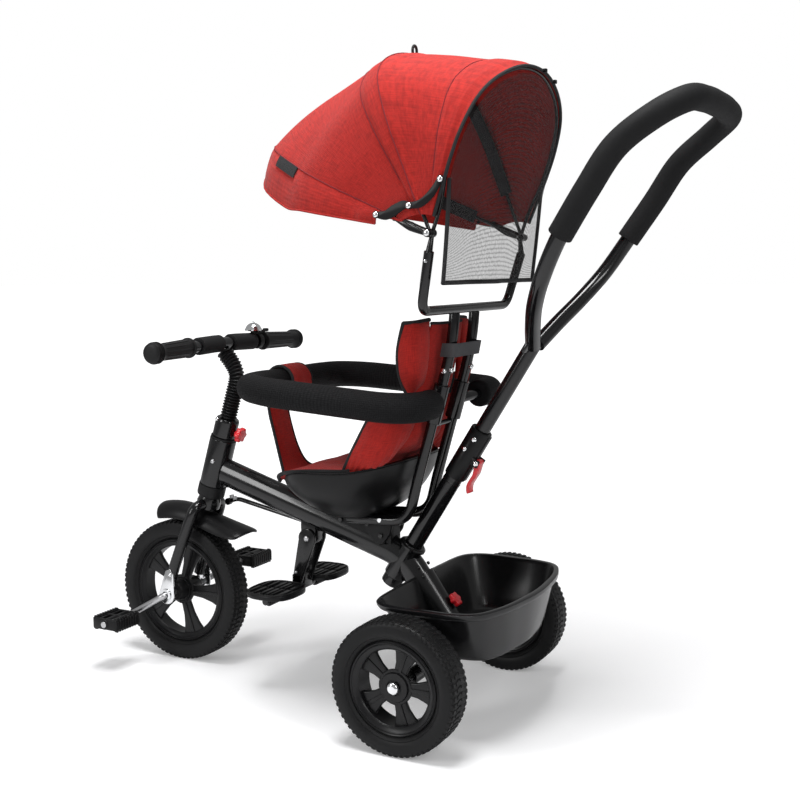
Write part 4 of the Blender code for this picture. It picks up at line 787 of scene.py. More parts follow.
def make_fork():
    head = rest_matrix(HEAD_POINT, HEAD_TILT)
    collar = [(0.0115, 0.0135), (0.0205, 0.0135), (0.0208, 0.016), (0.0208, 0.043), (0.0190, 0.047),
              (0.0115, 0.047)]
    blade = [(0.0425, -0.551, 0.147), (0.0425, -0.5455, 0.165), (0.0425, -0.512, 0.2450),
             (0.0400, -0.4930, 0.2905)]
    crown = [(0.0100, -0.124), (0.0205, -0.122), (0.0215, -0.112), (0.0185, -0.1015), (0.0120, -0.1005)]
    hoop = rounded_path([*blade, *[(-x, y, z) for x, y, z in blade[::-1]]], 0.0200, 10)
    parts = [tube([head @ Vector((0, 0, -0.115)), head @ Vector((0, 0, 0.020))], 0.013, 32),
             turned(rounded_profile(collar, 0.001), head, 48, closed=True),
             tube(hoop, 0.0100, 32, soft_end=0.003), turned(crown, head, 40, closed=True)]
    add_part("fork", merged(*parts), BLACK_PAINT, "steering")
    bolt_at, bolt_direction = head @ Vector((0.0188, -0.010, 0.044)), head.to_3x3() @ Vector((0.8, 0, 0.6))
    add_piece("collar_bolt", domed_bolt(bolt_at, bolt_direction, 0.0032, 0.002), CHROME, "steering")

    plate = [(-0.5345, 0.166), (-0.5415, 0.176), (-0.5515, 0.172)]
    plate += arc_points(FRONT_AXLE.yz, 0.017, 175, 10, 20)
    boss = [(0.0066, 0.0), (0.0115, 0.0), (0.0108, 0.0035), (0.0066, 0.0040)]
    plate_inner, plate_outer = 0.0511, 0.0541
    for side, name in SIDES:
        low, high = sorted((side * plate_inner, side * plate_outer))
        boss_place = facing(Vector((side * 0.0535, *FRONT_AXLE.yz)), (side, 0, 0))
        parts = [side_plate(plate, low, high, 0.0008), turned(boss, boss_place, 32, closed=True),
                 domed_bolt(Vector((side * plate_outer, -0.5425, 0.1650)), (side, 0, 0), 0.0034, 0.002)]
        add_part(f"bearing_plate_{name}", merged(*parts), CHROME, "steering")
    make_fender()


def make_fender():
    """The front fender; a station is an angle round the axle, a reach, a half width and how deep it curls."""
    stations = ((107.5, 0.1590, 0.0225, 0.9), (106, 0.1625, 0.0275, 1.0), (103, 0.1645, 0.0298, 1.0),
                (90, 0.1635, 0.0302, 0.95), (78, 0.1600, 0.0290, 0.85), (66, 0.1600, 0.0290, 0.85),
                (56, 0.1670, 0.0310, 0.85), (47, 0.1780, 0.0345, 0.75), (41, 0.1880, 0.0370, 0.55),
                (39.2, 0.1900, 0.0355, 0.5), (38.3, 0.1900, 0.0300, 0.4))
    shares = [math.sin(math.radians(a)) for a in range(-90, 91, 12)]
    rows = []
    for angle, reach, half, depth in stations:
        out = Vector((0, math.cos(math.radians(angle)), math.sin(math.radians(angle))))
        rows.append([FRONT_AXLE + (reach - depth * half * (1 - (1 - share * share) ** 0.5)) * out
                     + Vector((share * half, 0, 0)) for share in shares])
    wall = 0.0025
    add_part("front_fender", walled(surface(rows), wall), SATIN_BLACK, "steering", subdivide=2, sharp=60)


def star_knob(place, radius, stand, height, lobes=6):
    """A lobed knob on a short neck, with a small boss in its middle."""
    outline = []
    count, mean_share, lobe_share = lobes * 12, 0.90, 0.10
    for k in range(count):
        a = math.tau * k / count
        reach = radius * (mean_share + lobe_share * math.cos(lobes * a))
        outline.append((reach * math.cos(a), reach * math.sin(a)))
    return merged(slab(outline, stand, height, place, 0.0022, 4),
                  turned([(0, 0), (0.0036, 0), (0.0044, stand + 0.002), (0, stand + 0.002)], place, 20),
                  turned([(0, height - 0.001), (0.0062, height - 0.001), (0.0052, height + 0.0006),
                          (0, height + 0.0009)], place, 28))


def make_knobs():
    head = rest_matrix(HEAD_POINT, HEAD_TILT)
    knob = head @ Matrix.Translation((0, 0.0215, 0.0272)) @ Matrix.Rotation(-math.pi / 2, 4, "X")
    add_part("stem_knob", star_knob(knob, 0.0138, 0.006, 0.016), RED_PLASTIC, "stem_knob")
    stand_off, out_y, out_z = 0.0292, 0.7826, 0.6225
    basket_knob_at = Vector((0, -0.0335 + stand_off * out_y, 0.1525 + stand_off * out_z))
    knob = rest_matrix(basket_knob_at, math.radians(MAIN_TUBE_DROP))
    add_part("basket_knob", star_knob(knob, 0.0125, 0.003, 0.0112), RED_PLASTIC, "basket_knob")


# Handlebar

def bar_point(x):
    """The handlebar is straight in the middle, and its two sides sweep back and down a little."""
    swept = max(0.0, abs(x) - 0.03) / 0.18
    return Vector((x, -0.449 + 0.0125 * swept, 0.578 - 0.004 * swept))


def stem_route():
    """The stem's middle line, from inside the fork's collar up and forward to the handlebar."""
    head = rest_matrix(HEAD_POINT, HEAD_TILT)
    axis = [head @ Vector((0, 0, along)) for along in (0.05, 0.085, 0.112)]
    side_view = ((-0.4252, 0.523), (-0.4305, 0.538), (-0.4400, 0.551), (-0.4470, 0.559), (-0.449, 0.5665))
    return axis + [Vector((0, y, z)) for y, z in side_view]


def make_handlebar():
    ribs, rings = 24, 8
    head = rest_matrix(HEAD_POINT, HEAD_TILT)
    route = [head @ Vector((0, 0, 0.0478))] + stem_route()[1:-1] + [Vector((0, -0.4488, 0.5625))]
    path = resampled(smooth_path(route, 8), ribs * rings + 1)
    mean_radius, fold_depth = 0.0132, 0.0018
    radii = [mean_radius - fold_depth * math.cos(math.tau * k / rings) ** 3 for k in range(ribs * rings + 1)]
    add_part("stem_bellows", tube(path, radii, 36), BLACK_RUBBER, "handlebar", sharp=60)

    swept = [0.03 + 0.02 * k for k in range(5)] + [0.2085]
    stations = [*[-x for x in swept[::-1]], *swept]
    add_part("handlebar", tube([bar_point(x) for x in stations], 0.0105, 28), BLACK_PAINT, "handlebar")
    for side, name in SIDES:
        sleeve = [bar_point(side * x) for x in (0.0165, 0.024, 0.03, 0.04, 0.06, 0.078)]
        add_part(f"foam_sleeve_{name}", tube(sleeve, 0.0150, 36, soft_end=0.0012), BLACK_FOAM, "handlebar")
        make_grip(side, name)
    make_bell()


def make_grip(side, name):
    """A grip with a flange at its inner end, ridges along its middle and rings near its rounded outer end."""
    profile = [(0.1065, 0.0164), (0.1072, 0.0172), (0.1098, 0.0172), (0.1106, 0.0162), (0.1112, 0.0146),
               (0.118, 0.0147), (0.150, 0.0140), (0.182, 0.0134), (0.190, 0.0140), (0.195, 0.0158),
               (0.199, 0.0170), (0.206, 0.0173), (0.2100, 0.0164), (0.2118, 0.0140), (0.2125, 0.0100),
               (0.2126, 0.0040)]
    ridge_line = ((0.114, 0.0142, 0.0006), (0.120, 0.0144, 0.0013), (0.180, 0.0132, 0.0013),
                  (0.187, 0.0130, 0.0006))
    ridges = 12
    parts = [tube([bar_point(side * x) for x, _ in profile], [radius for _, radius in profile], 36)]
    for a in (math.tau * k / ridges for k in range(ridges)):
        ridge = [bar_point(side * x) + Vector((0, reach * math.cos(a), reach * math.sin(a)))
                 for x, reach, _ in ridge_line]
        parts.append(tube(ridge, [radius for _, _, radius in ridge_line], 10))
    ring = [(0.0150, -0.0007), (0.0180, -0.0005), (0.0180, 0.0005), (0.0150, 0.0007)]
    for x in (0.1975, 0.2015, 0.2055):
        parts.append(turned(ring, across(bar_point(side * x)), 40, closed=True))
    add_part(f"grip_{name}", merged(*parts), BLACK_RUBBER, "handlebar")


def block_from(origin, low, high, bevel, segments=2):
    """A rounded box whose low and high corners are measured from an origin."""
    return block(origin + Vector(low), origin + Vector(high), None, bevel, segments)


def make_bell():
    """The bell on its bracket and clamp band, and its thumb lever."""
    seat = bar_point(-0.092)
    base = seat + Vector((0.013, 0.002, 0.0190))
    band = [(0.0108, -0.0055), (0.0138, -0.0055), (0.0145, 0), (0.0138, 0.0055), (0.0108, 0.0055)]
    bracket = merged(turned(band, across(seat), 36, closed=True),
                     block_from(seat, (-0.0095, -0.005, 0.0125), (0.011, 0.007, 0.018), 0.0012),
                     block_from(base, (-0.004, -0.004, -0.006), (0.004, 0.004, 0.001), 0.001))
    add_piece("bell_bracket", bracket, MATTE_BLACK, "handlebar")
    dome = [(0, -0.0005), (0.0135, -0.0005), (0.0155, 0.0004), (0.0158, 0.0018), (0.0152, 0.0030)]
    dome_radius, dome_height = 0.0150, 0.0145
    dome += [(dome_radius * math.cos(a), dome_height * math.sin(a))
             for a in (math.radians(d) for d in range(18, 90, 8))]
    dome += [(0.0026, dome_height), (0.0024, 0.0158), (0.0010, 0.0166), (0, 0.0166)]
    add_part("bell", turned(dome, Matrix.Translation(base), 48), CHROME, "handlebar")
    pivot = seat + Vector((-0.0072, 0.002, 0.0162))
    lever = merged(block_from(pivot, (-0.021, -0.003, 0.0005), (0.0030, 0.003, 0.0030), 0.0010),
                   block_from(pivot, (-0.023, -0.0045, -0.0005), (-0.014, 0.0045, 0.0055), 0.0018, 3),
                   domed_bolt(pivot + Vector((0, 0, 0.0028)), (0, 0, 1), 0.0028, 0.0016))
    add_part("bell_lever", lever, SATIN_BLACK, "bell_lever")


# Cranks, pedals and footrest

def block_about(middle, half_size, bevel, segments=2):
    """A rounded box about its middle."""
    middle, half_size = Vector(middle), Vector(half_size)
    return block(middle - half_size, middle + half_size, None, bevel, segments)


def pedal_body(centre, middle_x, half):
    """A pedal: a barrel on the spindle, two studded bars, three bridges and two inner ribs."""
    ends = [Vector((middle_x + sign * half, *centre.yz)) for sign in (-1, 1)]
    middle = Vector((middle_x, *centre.yz))
    parts = [tube(ends, 0.0092, 24, soft_end=0.001)]
    studs, end_gap = 9, 0.006
    for sign in (-1, 1):
        bar = middle + Vector((0, sign * 0.0232, 0))
        parts.append(block_about(bar, (half - 0.001, 0.0040, 0.0105), 0.0026, 3))
        for k in range(studs):
            stud = bar + Vector(((half - end_gap) * (2 * k / (studs - 1) - 1), 0, 0))
            parts.append(block_about(stud, (0.0020, 0.0034, 0.0124), 0.0008, 1))
            outside = stud + Vector((0, sign * 0.0040, 0))
            parts.append(block_about(outside, (0.0020, 0.0012, 0.0080), 0.0006, 1))
    for x in (0.0035 - half, 0.0, half - 0.0035):
        parts.append(block_about(middle + Vector((x, 0, 0)), (0.0032, 0.0250, 0.0098), 0.0022, 2))
    for y in (-0.0135, 0.0135):
        parts.append(block_about(middle + Vector((0, y, 0)), (half - 0.002, 0.0016, 0.0094), 0.0008, 1))
    return merged(*parts)


def make_pedals():
    arm = Vector((0, -math.cos(CRANK_ANGLE), -math.sin(CRANK_ANGLE))) * CRANK_RADIUS
    outer, inner = 0.1405, 0.062
    bends = [Vector((outer, 0, 0)) + arm, Vector((inner + 0.004, 0, 0)) + arm, Vector((inner, 0, 0))]
    points = [FRONT_AXLE + bend for bend in bends] + [FRONT_AXLE - bend for bend in bends[::-1]]
    add_part("crank_axle", tube(rounded_path(points, 0.0085, 8), 0.0056, 24, soft_end=0.001), STEEL,
             "front_wheel")
    pedal_inner, pedal_outer = 0.0745, 0.1390
    middle, half = (pedal_inner + pedal_outer) / 2, (pedal_outer - pedal_inner) / 2
    for side, name in SIDES:
        pedal = pedal_body(FRONT_AXLE + side * arm, side * middle, half)
        add_part(f"pedal_{name}", pedal, SATIN_BLACK, f"pedal_{name}")


def rounded_plan(centre_y, half_width, half_depth, count, power=3.2):
    """A rounded rectangle of points in plan, squarer for a higher power."""
    points = []
    for k in range(count):
        a = math.tau * (k + 0.5) / count
        c, s = math.cos(a), math.sin(a)
        points.append((half_width * math.copysign(abs(c) ** (2 / power), c),
                       centre_y + half_depth * math.copysign(abs(s) ** (2 / power), s)))
    return points


def make_footrest():
    """The footrest's arm with its two ears and cross rod, and two slotted plates with raised treads."""
    ear_inner, ear_outer = 0.0145, 0.0185
    rod_y, rod_z = -0.300, 0.1612
    ear = arc_points(FOOTREST_PIVOT.yz, 0.0165, -15, 12, 18) + [(-0.307, 0.166), (-0.293, 0.158)]
    parts = [side_plate(ear, ear_inner, ear_outer, 0.0008), side_plate(ear, -ear_outer, -ear_inner, 0.0008),
             block((-ear_outer, -0.3055, 0.160), (ear_outer, -0.288, 0.186), None, 0.0015),
             tube([(-0.108, rod_y, rod_z), (0.108, rod_y, rod_z)], 0.006, 24, soft_end=0.001)]
    add_part("footrest_arm", merged(*parts), BLACK_PAINT, "footrest")
    bolts = []
    for side, _ in SIDES:
        bolts.append(domed_bolt(Vector((side * ear_outer, *FOOTREST_PIVOT.yz)), (side, 0, 0), 0.0052, 0.0030))
        bolts.append(domed_bolt(Vector((side * 0.0183, -0.2975, 0.1900)), (side, 0, 0), 0.0028, 0.0018))
    add_piece("footrest_bolts", merged(*bolts), STEEL, "footrest")

    plate_y, squareness, tread_low, tread_high = -0.302, 2.8, 0.1730, 0.1762
    treads = ((-0.3365, -0.3315), (-0.3235, -0.3185), (-0.3100, -0.3035), (-0.2995, -0.2930),
              (-0.2890, -0.2855), (-0.2780, -0.2700))
    for side, name in SIDES:
        middle = side * 0.0715
        outline = [(middle + side * x, y) for x, y in rounded_plan(plate_y, 0.0470, 0.0430, 96, squareness)]
        plate = slab(outline, 0.1655, 0.1740, None, 0.0022, 3)
        for y in (-0.3275, -0.3145, -0.2820):
            plate = carved(plate, block_about((middle, y, 0.170), (0.029, 0.0024, 0.020), 0.0008, 1))
        raised = [block((middle + x_low, y_low, tread_low), (middle + x_high, y_high, tread_high), None,
                        0.0009)
                  for x_low, x_high in ((-0.037, -0.0025), (0.0025, 0.037)) for y_low, y_high in treads]
        rim = [Vector((middle + side * x, y, 0.1745))
               for x, y in rounded_plan(plate_y, 0.0452, 0.0412, 96, squareness)]
        lip = tube(rim + rim[:2], 0.0017, 10)
        boss = tube([(middle - 0.028, rod_y, rod_z), (middle + 0.028, rod_y, rod_z)], 0.0092, 24,
                    soft_end=0.001)
        add_part(f"foot_plate_{name}", merged(plate, lip, boss, *raised), SATIN_BLACK, "footrest")


# Push handle

def push_loop():
    """The push handle's loop, from the fork of the Y up, over the cross bar and down again."""
    left = [(0.010, 0.1295, 0.588), (0.055, 0.147, 0.621), (0.098, 0.167, 0.654), (0.134, 0.193, 0.695),
            (0.155, 0.225, 0.748), (0.162, 0.264, 0.806), (0.160, 0.302, 0.861), (0.148, 0.350, 0.899),
            (0.118, 0.385, 0.921), (0.06, 0.393, 0.926), (0.0, 0.394, 0.927)]
    return [Vector(p) for p in left] + mirrored(left[-2::-1])


def make_push_handle():
    place = rest_matrix(HANDLE_POINT, HANDLE_TILT)
    lower = [(0, -0.0745), (0.017, -0.0745), (0.017, -0.059), (0.0117, -0.059), (0.0117, 0.0087),
             (0.0150, 0.0087), (0.0150, 0.2319), (0.0133, 0.2319), (0.0133, 0.20), (0, 0.20)]
    lever_arm = block((-0.0335, -0.007, -0.0715), (0, 0.007, -0.0625), place, 0.002)
    seam = [(0.0150, 0.1350), (0.0156, 0.1356), (0.0156, 0.1364), (0.0150, 0.1370)]
    parts = [turned(rounded_profile(lower, 0.0008), place, 48), lever_arm,
             turned(seam, place, 48, closed=True)]
    add_part("handle_tube", merged(*parts), BLACK_PAINT, "handle")
    make_handle_clamp(place)
    make_release_lever(place)

    straight = [place @ Vector((0, 0, along)) for along in (0.205, 0.3990)]
    gusset = block((-0.030, -0.003, 0.383), (0.030, 0.003, 0.402), place, 0.002)
    parts = [tube(smooth_path(push_loop(), 6), 0.0118, 32), tube(straight, 0.0125, 32), gusset]
    add_part("push_handle", merged(*parts), BLACK_PAINT, "push_handle")
    padded = smooth_path(push_loop()[4:-4], 10)
    foam = add_part("handle_foam", tube(padded, 0.0178, 40, soft_end=0.0018), BLACK_FOAM, "push_handle")
    make_steering_rod(place)


def make_handle_clamp(place):
    """The collar that grips the sliding tube, with the lever's ears and pin, and its rivets."""
    radius, pin_y, pin_z = 0.0178, 0.0225, 0.188
    collar = [(0.0152, 0.147), (0.0176, 0.147), (radius, 0.149), (radius, 0.2345), (0.0170, 0.236),
              (0.0131, 0.236), (0.0131, 0.2325), (0.0152, 0.2325)]
    ears = [block((low, 0.0132, 0.1815), (low + 0.0025, 0.0275, 0.1945), place, 0.0012)
            for low in (0.0095, -0.012)]
    spine = block((-0.0060, 0.0150, 0.1490), (0.0060, 0.0192, 0.2340), place, 0.0018, 3)
    pin = tube([place @ Vector((x, pin_y, pin_z)) for x in (-0.0125, 0.0125)], 0.0020, 16)
    add_part("handle_clamp", merged(turned(collar, place, 48, closed=True), *ears, spine, pin), SATIN_BLACK,
             "handle")
    rivets = []
    for side, _ in SIDES:
        for rear, along in ((0.0020, 0.2210), (-0.0040, 0.1990)):
            at = Vector((side * (math.sqrt(radius ** 2 - rear ** 2) - 0.0004), rear, along))
            out = place.to_3x3() @ Vector((at.x, at.y, 0))
            rivets.append(domed_bolt(place @ at, out, 0.0042, 0.0026))
        rivets.append(domed_bolt(place @ Vector((side * 0.0120, pin_y, pin_z)), (side, 0, 0), 0.0044, 0.0026))
    add_piece("clamp_rivets", merged(*rivets), CHROME, "handle")


def make_release_lever(place):
    """The red lever: a blade that narrows away from its round head and curls out at its tip."""
    half_width = 0.0088
    line = [(0.0225, 0.1895), (0.0262, 0.1800), (0.0290, 0.1700), (0.0288, 0.1600), (0.0292, 0.1500),
            (0.0330, 0.1420), (0.0362, 0.1390)]
    path = smooth_path([(y, z, 0) for y, z in line], 5)
    edges = [], []
    for k, point in enumerate(path):
        ahead = (path[min(k + 1, len(path) - 1)] - path[max(k - 1, 0)]).normalized()
        half_thickness = 0.0050 - 0.0022 * min(1.0, k / 12) - 0.0004 * max(0.0, (k - 22) / 8)
        aside = half_thickness * Vector((-ahead.y, ahead.x, 0))
        edges[0].append(point + aside)
        edges[1].append(point - aside)
    head = [(0.0225 + 0.0056 * math.cos(a), 0.188 + 0.0056 * math.sin(a))
            for a in (math.tau * k / 28 for k in range(28))]
    lever = merged(slab(edges[0] + edges[1][::-1], -half_width, half_width, place @ ALONG_X, 0.0012),
                   slab(head, -half_width, half_width, place @ ALONG_X, 0.0010))
    add_part("quick_release_lever", lever, RED_PLASTIC, "quick_release_lever", sharp=50)


def make_steering_rod(place):
    """The rod under the main tube, between the two lever arms, with an eye at each end."""
    x, eye_low, eye_high = -0.0265, -0.0300, -0.0225
    front = rest_matrix(HEAD_POINT, HEAD_TILT) @ Vector((0, 0.024, -0.108))
    rear = place @ Vector((0, 0, -0.0570))
    route = [(x, y, z) for y, z in (front.yz, (-0.448, 0.2975), (-0.195, 0.2480), (-0.160, 0.2360),
                                    (-0.122, 0.2125), rear.yz)]
    parts = [tube(rounded_path(route, 0.010, 5), 0.0040, 20, soft_end=0.001)]
    for at in (rear, front):
        parts.append(tube([(eye_low, *at.yz), (eye_high, *at.yz)], 0.0062, 24, soft_end=0.0006))
    add_part("steering_rod", merged(*parts), BLACK_PAINT, "steering_rod")


# Seat

# Radii of the bound edges of cloth
EDGE_PIPING = 0.0034
NARROW_PIPING = 0.0026


def seat_underside(y):
    """The height of the seat's underside: flat over its bracket, rising towards the front."""
    return 0.300 + max(0.0, -0.195 - y) * 0.3115


def make_seat_shell():
    """The seat shell: rings in plan from its floor up to a rolled rim."""
    middle, front_half, back_half, half_width, wall = -0.190, 0.092, 0.104, 0.128, 0.003
    bowl = [(max(0.02, math.sin(a) ** 0.86), 1 - math.cos(a))
            for a in (math.radians(8 * k) for k in range(12))]
    rows = []
    for reach, climb in (*bowl, (1.006, 1.01), (1.018, 1.015), (1.028, 0.995), (1.030, 0.960)):
        row = []
        for x, share in rounded_plan(0.0, half_width * reach, reach, 88):
            front, back = max(0.0, -share), max(0.0, share)
            y = middle + share * (back_half if share > 0 else front_half)
            floor = seat_underside(y)
            rim = 0.388 + 0.017 * back ** 2 - 0.036 * front ** 3
            lean = 0.020 * climb * back
            row.append(Vector((x * (1 - 0.20 * front ** 3), y + lean, floor + climb * (rim - floor))))
        rows.append(row + row[:1])
    shell = walled(surface(rows, closed=True, capped=True), wall)
    add_part("seat_shell", shell, SATIN_BLACK, "frame", sharp=50, subdivide=1)

    saddle = [(-0.235, 0.276), (-0.235, seat_underside(-0.235) - 0.0005), (-0.195, 0.2995), (-0.113, 0.2995),
              (-0.113, 0.256), (-0.140, 0.252)]
    gusset = [(-0.172, 0.2995), (-0.104, 0.3010), (-0.112, 0.2760), (-0.124, 0.2590), (-0.136, 0.2560),
              (-0.150, 0.2740)]
    plates = [carved(side_plate(outline, low, high, 0.0012), frame_tube(0.0004, 40))
              for outline, low, high in ((saddle, -0.0165, 0.0165), (gusset, 0.0175, 0.0245),
                                         (gusset, -0.0245, -0.0175))]
    add_part("seat_bracket", merged(*plates), MATTE_BLACK, "frame")
    bolts = []
    for side, _ in SIDES:
        for x, y, z in ((0.0243, -0.1519, 0.2903), (0.0243, -0.1275, 0.2720), (0.0163, -0.2076, 0.2906)):
            bolts.append(hex_nut(Vector((side * x, y, z)), (side, 0, 0), 0.0044, 0.0038))
    add_piece("seat_bolts", merged(*bolts), BLACK_PAINT, "frame")


def post_line(z):
    """The back posts' Y at a height: straight where the guard's sleeves turn, upright at the top."""
    bend_from, bend = 0.545, 1.25
    straight = POST_POINT.y + (z - POST_POINT.z) * math.tan(POST_TILT)
    return straight - bend * max(0.0, z - bend_from) ** 2


def make_posts():
    """The two bent posts behind the seat, their cross rod and bolts, and the elastic strap round them."""
    x, radius, rod_z, bolt_z = POST_POINT.x, 0.0085, 0.4609, 0.5487
    foot = [(x, -0.180, 0.2990), (x, post_line(0.3050) + 0.002, 0.3040), (x, post_line(0.37), 0.37)]
    heights = (0.42, 0.48, 0.545, 0.56, 0.575, 0.59, 0.605, 0.62, 0.6355)
    path = rounded_path(foot, 0.030, 10) + [Vector((x, post_line(z), z)) for z in heights]
    rod_y = post_line(rod_z)
    parts = [tube(path, radius, 28, soft_end=0.001), tube(mirrored(path), radius, 28, soft_end=0.001),
             tube([(-0.036, rod_y, rod_z), (0.036, rod_y, rod_z)], 0.004, 16)]
    add_part("backrest_frame", merged(*parts), BLACK_PAINT, "frame")
    bolts = []
    for side, _ in SIDES:
        at = Vector((side * x, post_line(bolt_z) + 0.0082, bolt_z))
        bolts.append(domed_bolt(at, (0, 1, -0.28), 0.0050, 0.0045))
        at = Vector((side * (x + 0.0083), post_line(0.5475), 0.5475))
        bolts.append(domed_bolt(at, (side, 0, 0), 0.0046, 0.0040))
        bolts.append(hex_nut(Vector((side * 0.0450, -0.1180, 0.3030)), (side, 0, 0), 0.0042, 0.0030))
    add_piece("post_bolts", merged(*bolts), CHROME, "frame")

    strap_z, strap_lean, strap_wall = 0.580, 0.20, 0.0016
    middle = post_line(strap_z)
    rear, half = middle + 0.0140, x + 0.0105
    side = [(half, middle - 0.0100), (half + 0.0006, middle), (half - 0.004, rear - 0.001),
            (half * 0.5, rear - 0.0006)]
    loop = [*[(-px, py) for px, py in side], (0, rear - 0.0012), *side[::-1]]
    line = smooth_path([(px, py, 0) for px, py in loop], 6)
    rows = [[Vector((p.x, p.y + (z - strap_z) * strap_lean, z)) for p in line]
            for z in (0.5695, 0.573, 0.578, 0.583, 0.588, 0.5905)]
    strap = add_part("elastic_strap", walled(surface(rows), strap_wall, 1.0), GREY_WEBBING, "frame")


def pillow(rows, thickness, edge, wrinkle, size, pucker=0.0, pleats=14):
    """A padded panel: its middle surface is the rows of points, and it is thickest away from its seams.
    Wrinkle and size are the height and the fineness of its soft folds, and pucker gathers the cloth along
    the first row."""
    fullness = 0.45
    lines, columns = len(rows), len(rows[0])
    rings = []
    for j, row in enumerate(rows):
        front, back = [], []
        before, after = rows[max(j - 1, 0)], rows[min(j + 1, lines - 1)]
        v = j / (lines - 1)
        for k, point in enumerate(row):
            u = k / (columns - 1)
            along = row[min(k + 1, columns - 1)] - row[max(k - 1, 0)]
            normal = along.cross(after[k] - before[k]).normalized()
            fill = max(0.0, math.sin(math.pi * u) * math.sin(math.pi * v)) ** fullness
            swell = edge + thickness * fill
            ripple = wrinkle * fill * noise.noise(point * size)
            ripple += pucker * (1 - v) ** 2 * math.sin(math.tau * pleats * u) * min(1.0, 6 * u, 6 * (1 - u))
            front.append(point + (swell + ripple) * normal)
            back.append(point - (swell - ripple) * normal)
        rings.append(front + back[::-1] + front[:1])
    return surface(rings, closed=True, capped=True)


def patch(curves, rows, columns):
    """A smooth patch through a few curves, each given by a few points."""
    lines = [resampled(smooth_path(curve, 8), columns) for curve in curves]
    grid = []
    for column in zip(*lines):
        grid.append(resampled(smooth_path(column, 8), rows) if len(column) > 2 else
                    [column[0].lerp(column[1], k / (rows - 1)) for k in range(rows)])
    return [list(row) for row in zip(*grid)]


def piping(name, path, body, radius, steps=4):
    """A black bound edge along a path."""
    cord = tube(smooth_path(path, steps), radius, 12, soft_end=radius * 0.6)
    return add_piece(name, cord, PIPING, body)


def make_liner():
    """The seat liner: a long cushion over the seat and up the back, with two pairs of padded wings."""
    spine = [(-0.288, 0.3640), (-0.272, 0.3710), (-0.245, 0.3745), (-0.205, 0.3765), (-0.165, 0.3770)]
    spine += [(-0.139, 0.3770), (-0.120, 0.380), (-0.109, 0.389), (-0.096, 0.412)]
    spine += [(post_line(z) - 0.0235, z) for z in (0.44, 0.49, 0.54, 0.585, 0.619)]
    half_widths = [0.078, 0.101, 0.117, 0.1240, 0.1240, 0.118, 0.110, 0.098, 0.082, 0.066, 0.057, 0.060,
                   0.060, 0.054]
    rises = [-0.004, 0.002, 0.008, 0.012, 0.014, 0.015, 0.016, 0.014, 0.012, 0.012, 0.012, 0.012, 0.010,
             0.006]
    half_columns = 16
    path = smooth_path([(w, y, z) for w, (y, z) in zip(half_widths, spine)], 6)
    edge_rises = smooth_path([(rise, y, z) for rise, (y, z) in zip(rises, spine)], 6)
    rows = []
    for i, here in enumerate(path):
        ahead = (path[min(i + 1, len(path) - 1)] - path[max(i - 1, 0)])
        inward = Vector((0, -ahead.z, ahead.y)).normalized()
        row = []
        for k in range(2 * half_columns + 1):
            s = k / half_columns - 1
            rise = edge_rises[i].x * abs(s) ** 2.6
            row.append(Vector((here.x * s, here.y, here.z)) + rise * inward)
        rows.append(row)
    cushion = add_part("seat_liner", pillow(rows, 0.0095, 0.0015, 0.0034, 24), RED_CLOTH, "frame", sharp=60)
    for side, name in SIDES:
        seat_edge = [row[-1 if side > 0 else 0] for row in rows[:34:2]]
        piping(f"seat_piping_{name}", seat_edge, "frame", EDGE_PIPING)
        make_wings(side, name)
    top_edge = [point + Vector((0, 0, 0.001)) for point in rows[-1][::4]]
    piping("liner_top_piping", top_edge, "frame", NARROW_PIPING)


def make_wings(side, name):
    """One side's two padded wings: the broad one beside the rider's hips and the one beside the head."""
    hips = [[(0.052, -0.086, 0.416), (0.080, -0.084, 0.409), (0.104, -0.094, 0.399), (0.111, -0.120, 0.392),
             (0.109, -0.148, 0.388)],
            [(0.050, -0.058, 0.452), (0.084, -0.056, 0.448), (0.113, -0.068, 0.440), (0.119, -0.095, 0.434),
             (0.116, -0.124, 0.428)],
            [(0.050, -0.040, 0.502), (0.086, -0.038, 0.500), (0.113, -0.047, 0.494), (0.1185, -0.068, 0.486),
             (0.118, -0.094, 0.479)]]
    rows = patch([[(side * x, y, z) for x, y, z in curve] for curve in hips], 26, 60)
    wing = add_piece(f"lower_wing_{name}", pillow(rows, 0.0062, 0.0012, 0.0055, 26, 0.0010, 11), RED_CLOTH,
                     "frame", sharp=60)
    piping(f"lower_wing_piping_{name}", [row[-1] for row in rows[::5]], "frame", EDGE_PIPING)

    head = [[(0.060, -0.033, 0.526), (0.084, -0.030, 0.522), (0.096, -0.029, 0.516), (0.1005, -0.034, 0.510)],
            [(0.056, -0.028, 0.555), (0.088, -0.026, 0.551), (0.104, -0.030, 0.546), (0.1095, -0.045, 0.541)],
            [(0.054, -0.026, 0.590), (0.084, -0.025, 0.588), (0.103, -0.031, 0.585), (0.1095, -0.048, 0.582)],
            [(0.050, -0.025, 0.626), (0.074, -0.025, 0.625), (0.092, -0.029, 0.6235),
             (0.1005, -0.043, 0.6225)]]
    rows = patch([[(side * x, y, z) for x, y, z in curve] for curve in head], 30, 30)
    wing = add_piece(f"upper_wing_{name}", pillow(rows, 0.0085, 0.0014, 0.0060, 24), RED_CLOTH,
                     "frame", sharp=60)
    outer_edge = [row[-1] for row in rows[::6]] + [rows[-1][-1]]
    piping(f"upper_wing_piping_{name}", outer_edge, "frame", EDGE_PIPING)
    piping(f"upper_wing_top_piping_{name}", rows[-1][::6] + rows[-1][-1:], "frame", EDGE_PIPING)


